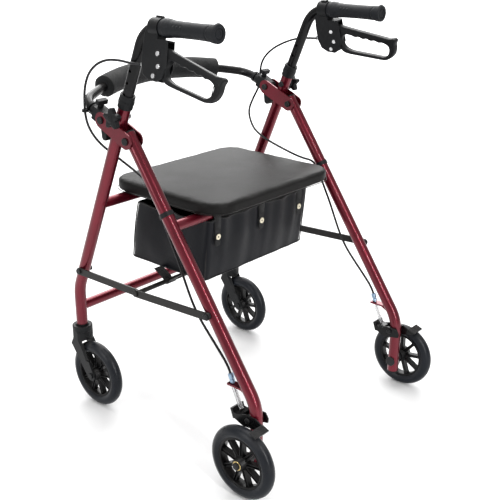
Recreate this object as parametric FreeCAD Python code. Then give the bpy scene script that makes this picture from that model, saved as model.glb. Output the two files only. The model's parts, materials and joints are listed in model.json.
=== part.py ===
import FreeCAD, Part
import math
import os

# Four-wheeled walking aid with a seat, backrest, bag and hand brakes.
# Millimetres. X runs across the walker, +Y is the way it is pushed, +Z is up.
# Heights are from the floor. Lengths along Y are first measured from the rear
# axle, and every shape is moved back by MIDDLE_Y as it is written, so that the
# origin of the finished part is the centre of its footprint.

# wheels
WHEEL_R = 76.2
TYRE_W = 28.0
TYRE_INNER_R = 54.0
RIM_W = 20.0
SPOKES = 9
HUB_R = 13.0
AXLE_R = 4.0
PIN_GAP = 0.06
REAR_WHEEL_X = 290.0

# frame tubes
FRAME_X = 251.0
LEG_R = 12.7
LEG_WALL = 1.2
CROSS_R = 11.0
LEG_BEND_R = 90.0
FRONT_LEG_Y = 517.0
FRONT_BEND_Z = 275.6
FRONT_SLOPE = -0.42
FRONT_LEG_BOTTOM = 188.0
FRONT_LEG_TOP = 718.0
REAR_BEND_Z = 178.0
REAR_SLOPE = 0.696
REAR_LEG_BOTTOM = 50.0
REAR_LEG_TOP = 652.0
FRONT_SEAT_TUBE = (425.0, 490.0)
REAR_SEAT_TUBE = (217.0, 488.0)
LOWER_TUBE_Z = 230.0

# bracket plates, one each side of the front leg
BACKREST_PIVOT = (393.4, 671.3)
FOLD_PIVOT = (323.5, 640.1)
PLATE_GAP = 13.0
PLATE_T = 3.0
PLATE_R = 16.0

# folding struts
STRUT_FRONT = (494.2, 324.5)
STRUT_MID = (308.4, 327.9)
STRUT_REAR = (111.8, 338.6)
STRUT_W = 16.0
STRUT_T = 3.0
FRONT_STRUT_X = 264.3
REAR_STRUT_X = 268.0
STRUT_PIN_R = 3.0
ROD_R = 5.0

# height-adjustable handles
HANDLE_R = 11.1
HANDLE_BEND_R = 60.0
GRIP_Z = 859.0
GRIP_START = 226.0
GRIP_END = 92.0
GRIP_R = 14.5
HANDLE_FOOT_Z = 615.0
HOLE_PITCH = 25.0
HOLE_R = 3.2
KNOB_Z = 683.0
COLLAR_Z = (702.0, 728.0)

# hand brakes: the housing and lever lean outwards below the grip
BRAKE_TILT = 13.5
LEVER_PIVOT = (220.0, 46.0)
LEVER_DROOP = {"left": 7.0, "right": 0.0}
LEVER_W = 14.0
HOUSING_W = 22.0

# backrest
BACKREST_RISE = 22.0
BACKREST_R = 9.5
BACKREST_FRONT = 141.0
BACKREST_BOW_R = 467.0
BACKREST_CORNER_R = 50.0
FOAM_R = 24.0
FOAM_HALF_ANGLE = 21.5

# seat and bag
SEAT_HALF_W = 195.0
SEAT_Y = (150.0, 470.0)
SEAT_Z = (501.8, 507.0, 527.0)
SEAT_CORNER_R = 52.0
BAG_HALF_W = 166.0
BAG_REAR = ((219.0, 346.0), (209.0, 472.0))
BAG_FRONT = ((438.0, 346.0), (413.0, 480.0))
BAG_WALL = 2.0
TAB_X = (-137.0, 0.0, 130.0)
TAB_W = 22.0
SNAP_Z = 441.0

# swivelling front wheels
TRAIL = 46.0
FORK_TOP = 185.0
FORK_R = 21.5
FORK_ARM_IN = 16.5
FORK_ARM_T = 5.0

# brakes on the rear wheels
BRAKE_PIVOT = (8.0, 152.8)
STOP_AT = (60.0, 206.0)
CABLE_R = 2.5

BACKREST_FRONT_Y = BACKREST_PIVOT[0] + BACKREST_FRONT * math.cos(math.radians(BACKREST_RISE))
MIDDLE_Y = (BACKREST_FRONT_Y + FOAM_R - WHEEL_R) / 2

FRONT_UP = FreeCAD.Vector(0, FRONT_SLOPE, 1).normalize()
REAR_UP = FreeCAD.Vector(0, REAR_SLOPE, 1).normalize()
X_AXIS = FreeCAD.Vector(1, 0, 0)
Y_AXIS = FreeCAD.Vector(0, 1, 0)
Z_AXIS = FreeCAD.Vector(0, 0, 1)
SIDES = {"left": -1, "right": 1}


def vec(x, y, z):
    return FreeCAD.Vector(x, y, z)


def front_leg_y(z):
    """Y of the front leg's axis, above its bend, at height z."""
    return FRONT_LEG_Y + FRONT_SLOPE * (z - FRONT_BEND_Z)


def rear_leg_y(z):
    """Y of the rear leg's axis, above its bend, at height z."""
    return REAR_SLOPE * (z - REAR_BEND_Z)


def rod(start, direction, radius, length):
    return Part.makeCylinder(radius, length, start, direction)


def rod_x(at, radius, x0, x1):
    """A cylinder along X from x0 to x1, centred on at = (y, z)."""
    return rod(vec(min(x0, x1), at[0], at[1]), X_AXIS, radius, abs(x1 - x0))


def block(x, y, z):
    """A box from three (low, high) pairs."""
    return Part.makeBox(x[1] - x[0], y[1] - y[0], z[1] - z[0], vec(x[0], y[0], z[0]))


def mirrored(shape):
    return shape.mirror(vec(0, 0, 0), X_AXIS)


def on_side(shape, side):
    """The shape as built on the right, or its mirror image on the left."""
    return shape if SIDES[side] > 0 else mirrored(shape)


def both(shape):
    """One compound of the right-hand shape and its mirror image."""
    return Part.makeCompound([shape, mirrored(shape)])


def fuse(shapes):
    return shapes[0].multiFuse(shapes[1:]).removeSplitter()


def softened(shape, radius, keep=lambda edge: True):
    """Rounds the chosen edges of a shape."""
    return shape.makeFillet(radius, [edge for edge in shape.Edges if keep(edge)])


def bend(points, radius=None):
    """A wire of straight runs joined by tangent arcs, and the arcs' radii.

    With no radius, each arc is as large as its two runs allow.
    """
    edges = []
    radii = []
    last = points[0]
    for before, corner, after in zip(points, points[1:], points[2:]):
        back = before - corner
        ahead = after - corner
        half_turn = (math.pi - back.getAngle(ahead)) / 2
        reach = 0.45 * min(back.Length, ahead.Length)
        if radius:
            reach = radius * math.tan(half_turn)
        arc_r = reach / math.tan(half_turn)
        radii.append(arc_r)
        back.normalize()
        ahead.normalize()
        begin = corner + back * reach
        end = corner + ahead * reach
        inward = (back + ahead).normalize()
        middle = corner + inward * (arc_r / math.cos(half_turn) - arc_r)
        edges.append(Part.makeLine(last, begin))
        edges.append(Part.Arc(begin, middle, end).toShape())
        last = end
    edges.append(Part.makeLine(last, points[-1]))
    return Part.Wire(edges), radii


def tube(points, radius, wall=0, bend_r=None):
    """A round tube along bent points, hollow if it has a wall."""
    wire = bend(points, bend_r)[0]
    direction = points[1] - points[0]
    solid = wire.makePipe(Part.Face(Part.Wire(Part.makeCircle(radius, points[0], direction))))
    if wall:
        inner = Part.Face(Part.Wire(Part.makeCircle(radius - wall, points[0], direction)))
        solid = solid.cut(wire.makePipe(inner))
    return solid


def ring(centre, direction, outer, inner, width):
    """A flat ring centred on a point."""
    unit = vec(*direction).normalize()
    start = centre - unit * (width / 2)
    return rod(start, unit, outer, width).cut(rod(start, unit, inner, width))


def outline(points, x0, x1):
    """A prism along X over a closed outline of (y, z) points."""
    corners = [vec(x0, y, z) for y, z in points]
    return Part.Face(Part.makePolygon(corners + corners[:1])).extrude(vec(x1 - x0, 0, 0))


def bar(a, b, width, x0, x1):
    """A flat bar with round ends, between two (y, z) points."""
    start = vec(x0, *a)
    along = vec(0, b[0] - a[0], b[1] - a[1])
    across = along.cross(X_AXIS).normalize() * (width / 2)
    corners = [start + across, start + along + across, start + along - across, start - across]
    web = Part.Face(Part.makePolygon(corners + corners[:1])).extrude(vec(x1 - x0, 0, 0))
    return fuse([web, rod_x(a, width / 2, x0, x1), rod_x(b, width / 2, x0, x1)])


def bolt_head(at, radius, height, x, outwards=1):
    """A low domed head standing on the plane X = x."""
    head = rod_x(at, radius, x, x + outwards * height)
    top = x + outwards * height
    return softened(head, height * 0.4, lambda edge: abs(edge.BoundBox.Center.x - top) < 0.01
                    and edge.BoundBox.XLength < 0.01)


# ---- front frame ----

def front_leg_points():
    return [vec(FRAME_X, FRONT_LEG_Y, FRONT_LEG_BOTTOM), vec(FRAME_X, FRONT_LEG_Y, FRONT_BEND_Z),
            vec(FRAME_X, front_leg_y(FRONT_LEG_TOP), FRONT_LEG_TOP)]


def knob_at():
    return (front_leg_y(KNOB_Z), KNOB_Z)


def front_leg():
    leg = tube(front_leg_points(), LEG_R, LEG_WALL, LEG_BEND_R)
    for at, radius in ((STRUT_FRONT, STRUT_PIN_R), (knob_at(), 4.0)):
        leg = leg.cut(rod_x(at, radius, FRAME_X - 20, FRAME_X + 20))
    return leg


def cross_tube(at, leg_points):
    """A tube between the two legs, its ends shaped to them."""
    leg = tube(leg_points, LEG_R, 0, LEG_BEND_R)
    whole = rod_x(at, CROSS_R, -FRAME_X, FRAME_X)
    bored = whole.cut(rod_x(at, CROSS_R - LEG_WALL, -FRAME_X, FRAME_X))
    return bored.cut(leg).cut(mirrored(leg))


def bracket_plates():
    """Two plates each side, welded to the front leg by a saddle."""
    leg = rod(vec(FRAME_X, front_leg_y(600), 600), FRONT_UP, LEG_R, 110)
    middle = vec(0, front_leg_y(655), 655)
    plates = []
    for side in (-1, 1):
        inner = FRAME_X + side * PLATE_GAP
        outer = inner + side * PLATE_T
        plate = bar(BACKREST_PIVOT, FOLD_PIVOT, 2 * PLATE_R, inner, outer)
        saddle = block((-2, 2), (-8, 8), (-14, 14))
        saddle.rotate(vec(0, 0, 0), X_AXIS, math.degrees(math.atan(-FRONT_SLOPE)))
        saddle.translate(middle + vec(inner - side * 1.5, 0, 0))
        saddle = saddle.cut(leg)
        plate = fuse([plate, saddle])
        for pivot in (BACKREST_PIVOT, FOLD_PIVOT):
            plate = plate.cut(rod_x(pivot, AXLE_R, inner - 5, outer + 5))
        plates.append(plate)
    return Part.makeCompound(plates)


def leg_collars():
    """The guide at the top of each leg and the caster bush at its foot."""
    low, high = COLLAR_Z
    length = (high - low) / FRONT_UP.z
    start = vec(FRAME_X, front_leg_y(low), low)
    body = softened(rod(start, FRONT_UP, 15.0, length), 1.2)
    lip = rod(start + FRONT_UP * 11, FRONT_UP, 15.8, 5)
    top = fuse([body, lip])
    leg_end = vec(FRAME_X, front_leg_y(FRONT_LEG_TOP), FRONT_LEG_TOP)
    top = top.cut(rod(leg_end - FRONT_UP * 60, FRONT_UP, LEG_R, 60))
    top = top.cut(rod(start - FRONT_UP * 5, FRONT_UP, HANDLE_R + PIN_GAP, length + 10))
    bush = fuse([rod(vec(FRAME_X, FRONT_LEG_Y, FORK_TOP + 0.5), Z_AXIS, 15.0, 2.5),
                 rod(vec(FRAME_X, FRONT_LEG_Y, FRONT_LEG_BOTTOM), Z_AXIS, LEG_R - LEG_WALL, 36)])
    bush = bush.cut(rod(vec(FRAME_X, FRONT_LEG_Y, 150), Z_AXIS, 6 + PIN_GAP, 120))
    return Part.makeCompound([top, bush])


def frame_bolts():
    """Pivot bolts through the plates, strut bolts, and the height-lock studs."""
    face = FRAME_X + PLATE_GAP + PLATE_T
    back = FRAME_X - PLATE_GAP - PLATE_T
    solids = []
    for pivot in (BACKREST_PIVOT, FOLD_PIVOT):
        solids.append(fuse([rod_x(pivot, AXLE_R, back, face), bolt_head(pivot, 7.5, 4, face),
                            bolt_head(pivot, 7.0, 5, back, -1)]))
    strut_face = FRONT_STRUT_X + STRUT_T + 0.3
    solids.append(fuse([rod_x(STRUT_FRONT, STRUT_PIN_R, FRAME_X - LEG_R, strut_face),
                        bolt_head(STRUT_FRONT, 6.5, 3.5, strut_face),
                        bolt_head(STRUT_FRONT, 6.0, 4, FRAME_X - LEG_R, -1)]))
    stud_in = HANDLE_R + 0.3
    solids.append(rod_x(knob_at(), 4.0, FRAME_X + stud_in, FRAME_X + LEG_R + 16))
    solids.append(fuse([rod_x(knob_at(), 4.0, FRAME_X - stud_in, FRAME_X - LEG_R),
                        bolt_head(knob_at(), 6.5, 4, FRAME_X - LEG_R, -1)]))
    return Part.makeCompound(solids)


# ---- rear frame ----

def rear_leg_points():
    return [vec(FRAME_X, 0, REAR_LEG_BOTTOM), vec(FRAME_X, 0, REAR_BEND_Z),
            vec(FRAME_X, rear_leg_y(REAR_LEG_TOP), REAR_LEG_TOP)]


def rear_leg():
    leg = tube(rear_leg_points(), LEG_R, LEG_WALL, LEG_BEND_R)
    leg = leg.cut(rod_x(FOLD_PIVOT, AXLE_R + PIN_GAP, FRAME_X - 20, FRAME_X + 20))
    leg = leg.cut(rod_x((0, WHEEL_R), AXLE_R, FRAME_X - 20, FRAME_X + 20))
    return leg.cut(rod_x(BRAKE_PIVOT, STRUT_PIN_R, FRAME_X - 20, FRAME_X + 20))


def leg_plugs():
    """Rounded plastic plugs in both ends of each rear leg."""
    foot = softened(rod(vec(FRAME_X, 0, REAR_LEG_BOTTOM - 4), Z_AXIS, LEG_R, 4), 1.2,
                    lambda edge: edge.BoundBox.ZMax < REAR_LEG_BOTTOM - 3.9)
    top = vec(FRAME_X, rear_leg_y(REAR_LEG_TOP), REAR_LEG_TOP)
    cap = rod(top, REAR_UP, LEG_R - 0.4, 3)
    inside = LEG_R - LEG_WALL
    return Part.makeCompound([fuse([foot, rod(vec(FRAME_X, 0, REAR_LEG_BOTTOM), Z_AXIS, inside, 8)]),
                              cap])


def clip_centre():
    """Where the cable runs through the clip on the front of the rear leg."""
    height = 510.0
    ahead = X_AXIS.cross(REAR_UP) * -1
    return vec(FRAME_X, rear_leg_y(height), height) + ahead * (LEG_R + 4.4)


def cable_clips():
    """A band round each rear leg with a loop that holds the cable."""
    centre = clip_centre()
    leg_at = vec(FRAME_X, rear_leg_y(510.0), 510.0)
    band = ring(leg_at, REAR_UP, LEG_R + 1.5, LEG_R, 9)
    loop = rod(centre - REAR_UP * 4.5, REAR_UP, CABLE_R + 2.0, 9)
    clip = fuse([band, loop.cut(rod(leg_at - REAR_UP * 10, REAR_UP, LEG_R, 20))])
    return clip.cut(rod(centre - REAR_UP * 10, REAR_UP, CABLE_R + 0.4, 20))


def stop_direction():
    return vec(0, 8, 24).normalize()


def cable_stops():
    """A welded tab on each rear leg that the cable's sleeve pushes against."""
    top = STOP_AT[1]
    tab = block((FRAME_X - 8, FRAME_X + 8), (12, STOP_AT[0] + 9), (top - 2, top + 2))
    web = outline([(14, top - 20), (48, top - 2), (14, top - 2)], FRAME_X - 2, FRAME_X + 2)
    leg = tube(rear_leg_points(), LEG_R, 0, LEG_BEND_R)
    tab = fuse([tab, web]).cut(leg)
    behind_leg = block((FRAME_X - 30, FRAME_X + 30), (-40, rear_leg_y(top) + 4), (150, 250))
    tab = tab.cut(behind_leg)
    return tab.cut(rod(vec(FRAME_X, *STOP_AT) - stop_direction() * 9, stop_direction(), 3.2, 18))


def barrel_adjusters():
    """A threaded barrel through each tab, with a knurled nut above it."""
    centre = vec(FRAME_X, *STOP_AT)
    way = stop_direction()
    parts = [rod(centre - way * 5, way, 3.2, 27), rod(centre + way * 4.4, way, 5.2, 5),
             rod(centre + way * 12, way, 5.6, 9)]
    return fuse(parts).cut(rod(centre + way * 18, way, CABLE_R, 10)).cut(
        rod(centre - way * 10, way, 1.2, 40))


def adjuster_mouth():
    """The bottom of the socket that the cable's sleeve sits in."""
    return vec(FRAME_X, *STOP_AT) + stop_direction() * 18


def spring_ends():
    way = stop_direction()
    return vec(FRAME_X, *STOP_AT) - way * 5.2, vec(FRAME_X, 37.5, 158.2)


def brake_springs():
    """The return spring's outer shape, as a sleeve round the brake wire."""
    top, foot = spring_ends()
    sleeve = ring((top + foot) * 0.5, top - foot, 5.2, 3.6, (top - foot).Length - 0.4)
    return sleeve


def rear_axle_bolts():
    """The wheel axles, and the bolts that the brake arms turn on."""
    out = REAR_WHEEL_X + 18.3
    axle = fuse([rod_x((0, WHEEL_R), AXLE_R, FRAME_X - LEG_R, out),
                 rod_x((0, WHEEL_R), 9.0, FRAME_X + LEG_R, REAR_WHEEL_X - 18.3),
                 bolt_head((0, WHEEL_R), 7.5, 4.5, out),
                 bolt_head((0, WHEEL_R), 11.0, 4.5, FRAME_X - LEG_R, -1)])
    leg = tube(rear_leg_points(), LEG_R, 0, LEG_BEND_R)
    bored = leg.cut(rod_x((0, WHEEL_R), AXLE_R, FRAME_X - 20, FRAME_X + 20))
    axle = axle.cut(bored)
    reach = LEG_R + 4.3
    pivot = fuse([rod_x(BRAKE_PIVOT, STRUT_PIN_R, FRAME_X - reach, FRAME_X + reach),
                  bolt_head(BRAKE_PIVOT, 5.5, 3, FRAME_X + reach),
                  bolt_head(BRAKE_PIVOT, 5.5, 3, FRAME_X - reach, -1)])
    return Part.makeCompound([axle, pivot])


# ---- brakes on the rear wheels ----

def brake_arm():
    """Two cheeks astride the leg, a lug for the cable and a blade over the tyre."""
    shape = [(-40, 147.6), (-22, 142), (20, 136), (44, 145), (44, 156), (36, 156),
             (14, 163), (-10, 163), (-24, 156), (-38, 152.5)]
    short = [(-16, 143.5), (20, 136), (44, 145), (44, 156), (36, 156), (14, 163), (-10, 163),
             (-17, 152)]
    near = LEG_R + 0.6
    cheeks = [outline(shape, FRAME_X + near, FRAME_X + near + 3),
              outline(short, FRAME_X - near, FRAME_X - near - 3)]
    lug = outline([(28, 147), (46, 143), (53, 163), (48, 165), (44.5, 156), (28, 156)],
                  FRAME_X - 16.3, FRAME_X + 16.3)
    blade = outline([(-40, 147.6), (-24, 154.2), (-25, 157.6), (-42, 151.4)],
                    FRAME_X + near, REAR_WHEEL_X + 11)
    arm = fuse(cheeks + [lug, blade])
    arm = arm.cut(rod_x(BRAKE_PIVOT, STRUT_PIN_R + PIN_GAP, FRAME_X - 30, FRAME_X + 30))
    tyre_room = rod_x((0, WHEEL_R), WHEEL_R + 4.5, REAR_WHEEL_X - TYRE_W / 2 - 2, REAR_WHEEL_X + 40)
    return arm.cut(tyre_room)


# ---- wheels ----

def tyre(at, x):
    """A rounded tyre about an axle along X."""
    half = TYRE_W / 2
    seat = RIM_W / 2
    belly = (TYRE_INNER_R + WHEEL_R) / 2 - 1
    shoulder = WHEEL_R - 4
    y, z = at
    profile = Part.Wire([
        Part.makeLine(vec(x - seat, y, z + TYRE_INNER_R), vec(x + seat, y, z + TYRE_INNER_R)),
        Part.Arc(vec(x + seat, y, z + TYRE_INNER_R), vec(x + half, y, z + belly),
                 vec(x + seat, y, z + shoulder)).toShape(),
        Part.Arc(vec(x + seat, y, z + shoulder), vec(x, y, z + WHEEL_R),
                 vec(x - seat, y, z + shoulder)).toShape(),
        Part.Arc(vec(x - seat, y, z + shoulder), vec(x - half, y, z + belly),
                 vec(x - seat, y, z + TYRE_INNER_R)).toShape()])
    return Part.Face(profile).revolve(vec(x, y, z), X_AXIS, 360)


def rim(at, x, hub_half):
    """A spoked rim: felloe ring, hub and tapered spokes in one moulding."""
    y, z = at
    centre = vec(x, y, z)
    felloe = ring(centre, X_AXIS, TYRE_INNER_R, TYRE_INNER_R - 4, RIM_W)
    hub = rod_x(at, HUB_R, x - hub_half, x + hub_half)
    spokes = []
    for count in range(SPOKES):
        spoke = block((x - 6, x + 6), (y - 3.8, y + 3.8), (z + HUB_R - 3, z + TYRE_INNER_R - 2))
        spoke.rotate(centre, X_AXIS, count * 360 / SPOKES)
        spokes.append(spoke)
    return fuse([felloe, hub] + spokes).cut(rod_x(at, AXLE_R + PIN_GAP, x - 30, x + 30))


def caster_axle():
    return (FRONT_LEG_Y - TRAIL, WHEEL_R)


def caster_fork():
    """Stem, crown and two arms that trail the wheel behind the stem, with its axle."""
    axle = caster_axle()
    stem = rod(vec(FRAME_X, FRONT_LEG_Y, 160), Z_AXIS, 6, 60)
    crown = softened(rod(vec(FRAME_X, FRONT_LEG_Y, 172), Z_AXIS, FORK_R + 1, 13), 2)
    neck = rod(vec(FRAME_X, FRONT_LEG_Y, 140), Z_AXIS, FORK_R, 34)
    front = FRONT_LEG_Y + 17
    rear = FRONT_LEG_Y - 18
    shape = [(rear, 172), (front, 172), (front, 140), (axle[0] + 12, axle[1] - 4),
             (axle[0] - 11, axle[1] + 2), (rear - 14, 128)]
    outer = FORK_ARM_IN + FORK_ARM_T
    cheeks = outline(shape, FRAME_X - outer, FRAME_X + outer)
    flare = Part.makeCone(38, FORK_R + 1, 42, vec(FRAME_X, FRONT_LEG_Y, 110))
    column = rod(vec(FRAME_X, FRONT_LEG_Y, 152), Z_AXIS, FORK_R + 1, 30)
    below = block((FRAME_X - 40, FRAME_X + 40), (400, 600), (0, 110))
    cheeks = cheeks.common(fuse([flare, column, below]))
    rounded = rod_x(axle, 12, FRAME_X - outer, FRAME_X + outer)
    body = fuse([crown, neck, cheeks, rounded])
    slot = rod_x(axle, WHEEL_R + 5, FRAME_X - FORK_ARM_IN, FRAME_X + FORK_ARM_IN)
    body = fuse([body.cut(slot), stem])
    pin = fuse([rod_x(axle, AXLE_R, FRAME_X - outer, FRAME_X + outer),
                bolt_head(axle, 7, 3, FRAME_X + outer), bolt_head(axle, 7, 3, FRAME_X - outer, -1)])
    return Part.makeCompound([body.cut(rod_x(axle, AXLE_R, 200, 300)), pin])


# ---- folding struts ----

def front_struts():
    link = bar(STRUT_FRONT, STRUT_MID, STRUT_W, FRONT_STRUT_X, FRONT_STRUT_X + STRUT_T)
    link = link.cut(rod_x(STRUT_FRONT, STRUT_PIN_R + PIN_GAP, 200, 300))
    return link.cut(rod_x(STRUT_MID, STRUT_PIN_R, 200, 300))


def rear_struts():
    link = bar(STRUT_MID, STRUT_REAR, STRUT_W, REAR_STRUT_X, REAR_STRUT_X + STRUT_T)
    link = link.cut(rod_x(STRUT_MID, STRUT_PIN_R + PIN_GAP, 200, 300))
    return link.cut(rod_x(STRUT_REAR, STRUT_PIN_R, 200, 300))


def cross_rod():
    """The rod between the two mid hinges, with a headed pin at each end."""
    outside = REAR_STRUT_X + STRUT_T + 0.3
    solids = [rod_x(STRUT_MID, ROD_R, -FRONT_STRUT_X, FRONT_STRUT_X),
              rod_x(STRUT_MID, STRUT_PIN_R, -outside, outside),
              bolt_head(STRUT_MID, 6.5, 3, outside), bolt_head(STRUT_MID, 6.5, 3, -outside, -1)]
    return fuse(solids)


def strut_end_bolts():
    """The rear ends' bolts and washers, which stop just short of the leg."""
    outside = REAR_STRUT_X + STRUT_T
    return fuse([rod_x(STRUT_REAR, STRUT_PIN_R, FRAME_X + LEG_R + 0.5, outside),
                 rod_x(STRUT_REAR, 7.5, FRAME_X + LEG_R + 0.5, REAR_STRUT_X),
                 bolt_head(STRUT_REAR, 6.5, 3.5, outside)])


def pull_strap():
    """A webbing loop that hangs from the bag and goes round the cross rod."""
    rod_y, rod_z = STRUT_MID
    low = ring(vec(-173, rod_y, rod_z), X_AXIS, ROD_R + 1.6, ROD_R + 0.2, 24)
    tail = outline([(rod_y - 1.2, rod_z + 6), (rod_y + 1.2, rod_z + 6),
                    (rod_y + 1.2, BAG_REAR[0][1] - 0.5), (rod_y - 1.2, BAG_REAR[0][1] - 0.5)],
                   -185, -161)
    return fuse([low, tail])


# ---- seat ----

def rounded_slab(half_w, y, z, corner):
    slab = block((-half_w, half_w), y, z)
    return softened(slab, corner, lambda edge: edge.BoundBox.ZLength > (z[1] - z[0]) * 0.9)


def seat_board():
    low, middle = SEAT_Z[:2]
    return rounded_slab(SEAT_HALF_W - 12, (SEAT_Y[0] + 12, SEAT_Y[1] - 12), (low, middle),
                        SEAT_CORNER_R - 12)


def seat_cushion():
    """The padded top, with a soft edge all round."""
    middle, high = SEAT_Z[1:]
    pad = rounded_slab(SEAT_HALF_W, SEAT_Y, (middle - 4.6, high), SEAT_CORNER_R)
    pad = softened(pad, 9, lambda edge: edge.BoundBox.ZMin > high - 0.01)
    hollow = rounded_slab(SEAT_HALF_W - 12, (SEAT_Y[0] + 12, SEAT_Y[1] - 12), (middle - 10, middle),
                          SEAT_CORNER_R - 12)
    return pad.cut(hollow)


def seat_hinge_clips():
    """Two saddles under the board that turn on the front seat tube."""
    y, z = FRONT_SEAT_TUBE
    board = SEAT_Z[0]
    clips = []
    for x in (-120, 120):
        centre = vec(x, y, z)
        loop = ring(centre, X_AXIS, CROSS_R + 2.4, CROSS_R + PIN_GAP, 30)
        pad = block((x - 15, x + 15), (y - 24, y + 24), (board - 2.4, board))
        pad = pad.cut(rod_x(FRONT_SEAT_TUBE, CROSS_R + PIN_GAP, x - 16, x + 16))
        clips.append(fuse([loop.cut(block((x - 16, x + 16), (y - 20, y + 20), (board, board + 20))),
                           pad]))
    return Part.makeCompound(clips)


# ---- bag ----

def bag_section(inset, lift):
    """The bag's side outline, drawn in by inset and raised by lift."""
    (rear_low_y, low_z), (rear_high_y, rear_z) = BAG_REAR
    (front_low_y, low_z), (front_high_y, front_z) = BAG_FRONT
    return [(rear_low_y + inset, low_z + inset), (front_low_y - inset, low_z + inset),
            (front_high_y - inset, front_z + lift), (rear_high_y + inset, rear_z + lift)]


def seat_bag():
    outer = outline(bag_section(0, 0), -BAG_HALF_W, BAG_HALF_W)
    inner = outline(bag_section(BAG_WALL, 12), -BAG_HALF_W + BAG_WALL, BAG_HALF_W - BAG_WALL)
    return outer.cut(inner)


def bag_tabs():
    """Webbing tabs over the rear seat tube, down to the snaps on the bag."""
    y, z = REAR_SEAT_TUBE
    tabs = []
    for x in TAB_X:
        span = (x - TAB_W / 2, x + TAB_W / 2)
        over = ring(vec(x, y, z), X_AXIS, CROSS_R + 1.5, CROSS_R + 0.2, TAB_W)
        over = over.cut(block((span[0] - 1, span[1] + 1), (y - 30, y + 30), (z - 40, z)))
        rear = block(span, (y - CROSS_R - 1.5, y - CROSS_R - 0.2), (SNAP_Z - 20, z))
        front = block(span, (y + CROSS_R + 0.2, y + CROSS_R + 1.5), (z - 12, z))
        tabs.append(fuse([over, rear, front]))
    return Part.makeCompound(tabs)


def bag_snaps():
    face = REAR_SEAT_TUBE[0] - CROSS_R - 1.5
    snaps = []
    for x in TAB_X:
        snap = rod(vec(x, face, SNAP_Z), vec(0, -1, 0), 6.0, 2.0)
        snaps.append(softened(snap, 0.8, lambda edge: edge.BoundBox.YMax < face - 1.9))
    return Part.makeCompound(snaps)


# ---- backrest ----

def backrest_place(shape):
    """Lays a shape drawn flat, X across and Y forward, into the backrest's plane."""
    shape.rotate(vec(0, 0, 0), X_AXIS, BACKREST_RISE)
    shape.translate(vec(0, *BACKREST_PIVOT))
    return shape


def backrest_tube():
    """Straight arms from the sockets, turned in to one wide bow."""
    bow_y = BACKREST_FRONT - BACKREST_BOW_R
    inset = FRAME_X - BACKREST_CORNER_R
    reach = BACKREST_BOW_R - BACKREST_CORNER_R
    corner_y = bow_y + math.sqrt(reach ** 2 - inset ** 2)
    touch = vec(inset, corner_y - bow_y, 0) * (BACKREST_BOW_R / reach) + vec(0, bow_y, 0)
    angle = math.atan2(corner_y - bow_y, inset)
    half = angle / 2
    corner_mid = vec(inset + BACKREST_CORNER_R * math.cos(half),
                     corner_y + BACKREST_CORNER_R * math.sin(half), 0)
    flip = lambda p: vec(-p.x, p.y, p.z)
    start = vec(FRAME_X, 16, 0)
    side = vec(FRAME_X, corner_y, 0)
    wire = Part.Wire([Part.makeLine(start, side), Part.Arc(side, corner_mid, touch).toShape(),
                      Part.Arc(touch, vec(0, BACKREST_FRONT, 0), flip(touch)).toShape(),
                      Part.Arc(flip(touch), flip(corner_mid), flip(side)).toShape(),
                      Part.makeLine(flip(side), flip(start))])
    outer = wire.makePipe(Part.Face(Part.Wire(Part.makeCircle(BACKREST_R, start, Y_AXIS))))
    inner = wire.makePipe(Part.Face(Part.Wire(Part.makeCircle(BACKREST_R - 1.2, start, Y_AXIS))))
    return backrest_place(outer.cut(inner))


def backrest_foam():
    """A thick foam sleeve round the middle of the bow."""
    centre = vec(0, BACKREST_FRONT - BACKREST_BOW_R, 0)
    section = Part.Wire(Part.makeCircle(FOAM_R, vec(0, BACKREST_FRONT, 0), X_AXIS))
    core = Part.Wire(Part.makeCircle(BACKREST_R + 0.05, vec(0, BACKREST_FRONT, 0), X_AXIS))
    solids = []
    for wire in (section, core):
        solid = Part.Face(wire).revolve(centre, Z_AXIS, 2 * FOAM_HALF_ANGLE)
        solid.rotate(centre, Z_AXIS, -FOAM_HALF_ANGLE)
        solids.append(solid)
    return backrest_place(solids[0].cut(solids[1]))


def socket_point(forward, up=0.0):
    """A (y, z) point measured from the backrest's pivot along its slope."""
    rise = math.radians(BACKREST_RISE)
    return (BACKREST_PIVOT[0] + forward * math.cos(rise) - up * math.sin(rise),
            BACKREST_PIVOT[1] + forward * math.sin(rise) + up * math.cos(rise))


def backrest_sockets():
    """The block between the plates that holds the tube, with a tail as its stop."""
    width = PLATE_GAP - 0.4
    shape = [socket_point(*p) for p in
             ((-9, -9), (-4, 12), (18, 14), (30, 14), (30, -13), (12, -13))]
    body = fuse([outline(shape, FRAME_X - width, FRAME_X + width),
                 rod_x(BACKREST_PIVOT, 12, FRAME_X - width, FRAME_X + width)])
    tail = outline([(BACKREST_PIVOT[0] - 6, 668), (BACKREST_PIVOT[0] + 11, 668), (400, 634),
                    (396, 630), (390, 630), (387, 635)], FRAME_X - 9, FRAME_X + 9)
    way = vec(0, *socket_point(1)) - vec(0, *BACKREST_PIVOT)
    sleeve = rod(vec(FRAME_X, *socket_point(28)), way, 12.5, 11)
    tube_room = rod(vec(FRAME_X, *socket_point(16)), way, BACKREST_R, 40)
    body = fuse([body, tail, sleeve]).cut(tube_room)
    body = body.cut(rod_x(BACKREST_PIVOT, AXLE_R + PIN_GAP, 200, 300))
    up = vec(0, *socket_point(0, 1)) - vec(0, *BACKREST_PIVOT)
    leg_room = rod(vec(FRAME_X, front_leg_y(600), 600), FRONT_UP, LEG_R + 1.5, 130)
    body = body.cut(leg_room)
    return body.cut(rod(vec(FRAME_X, *socket_point(24, 10.5)), up, 4 + PIN_GAP, 10))


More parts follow.
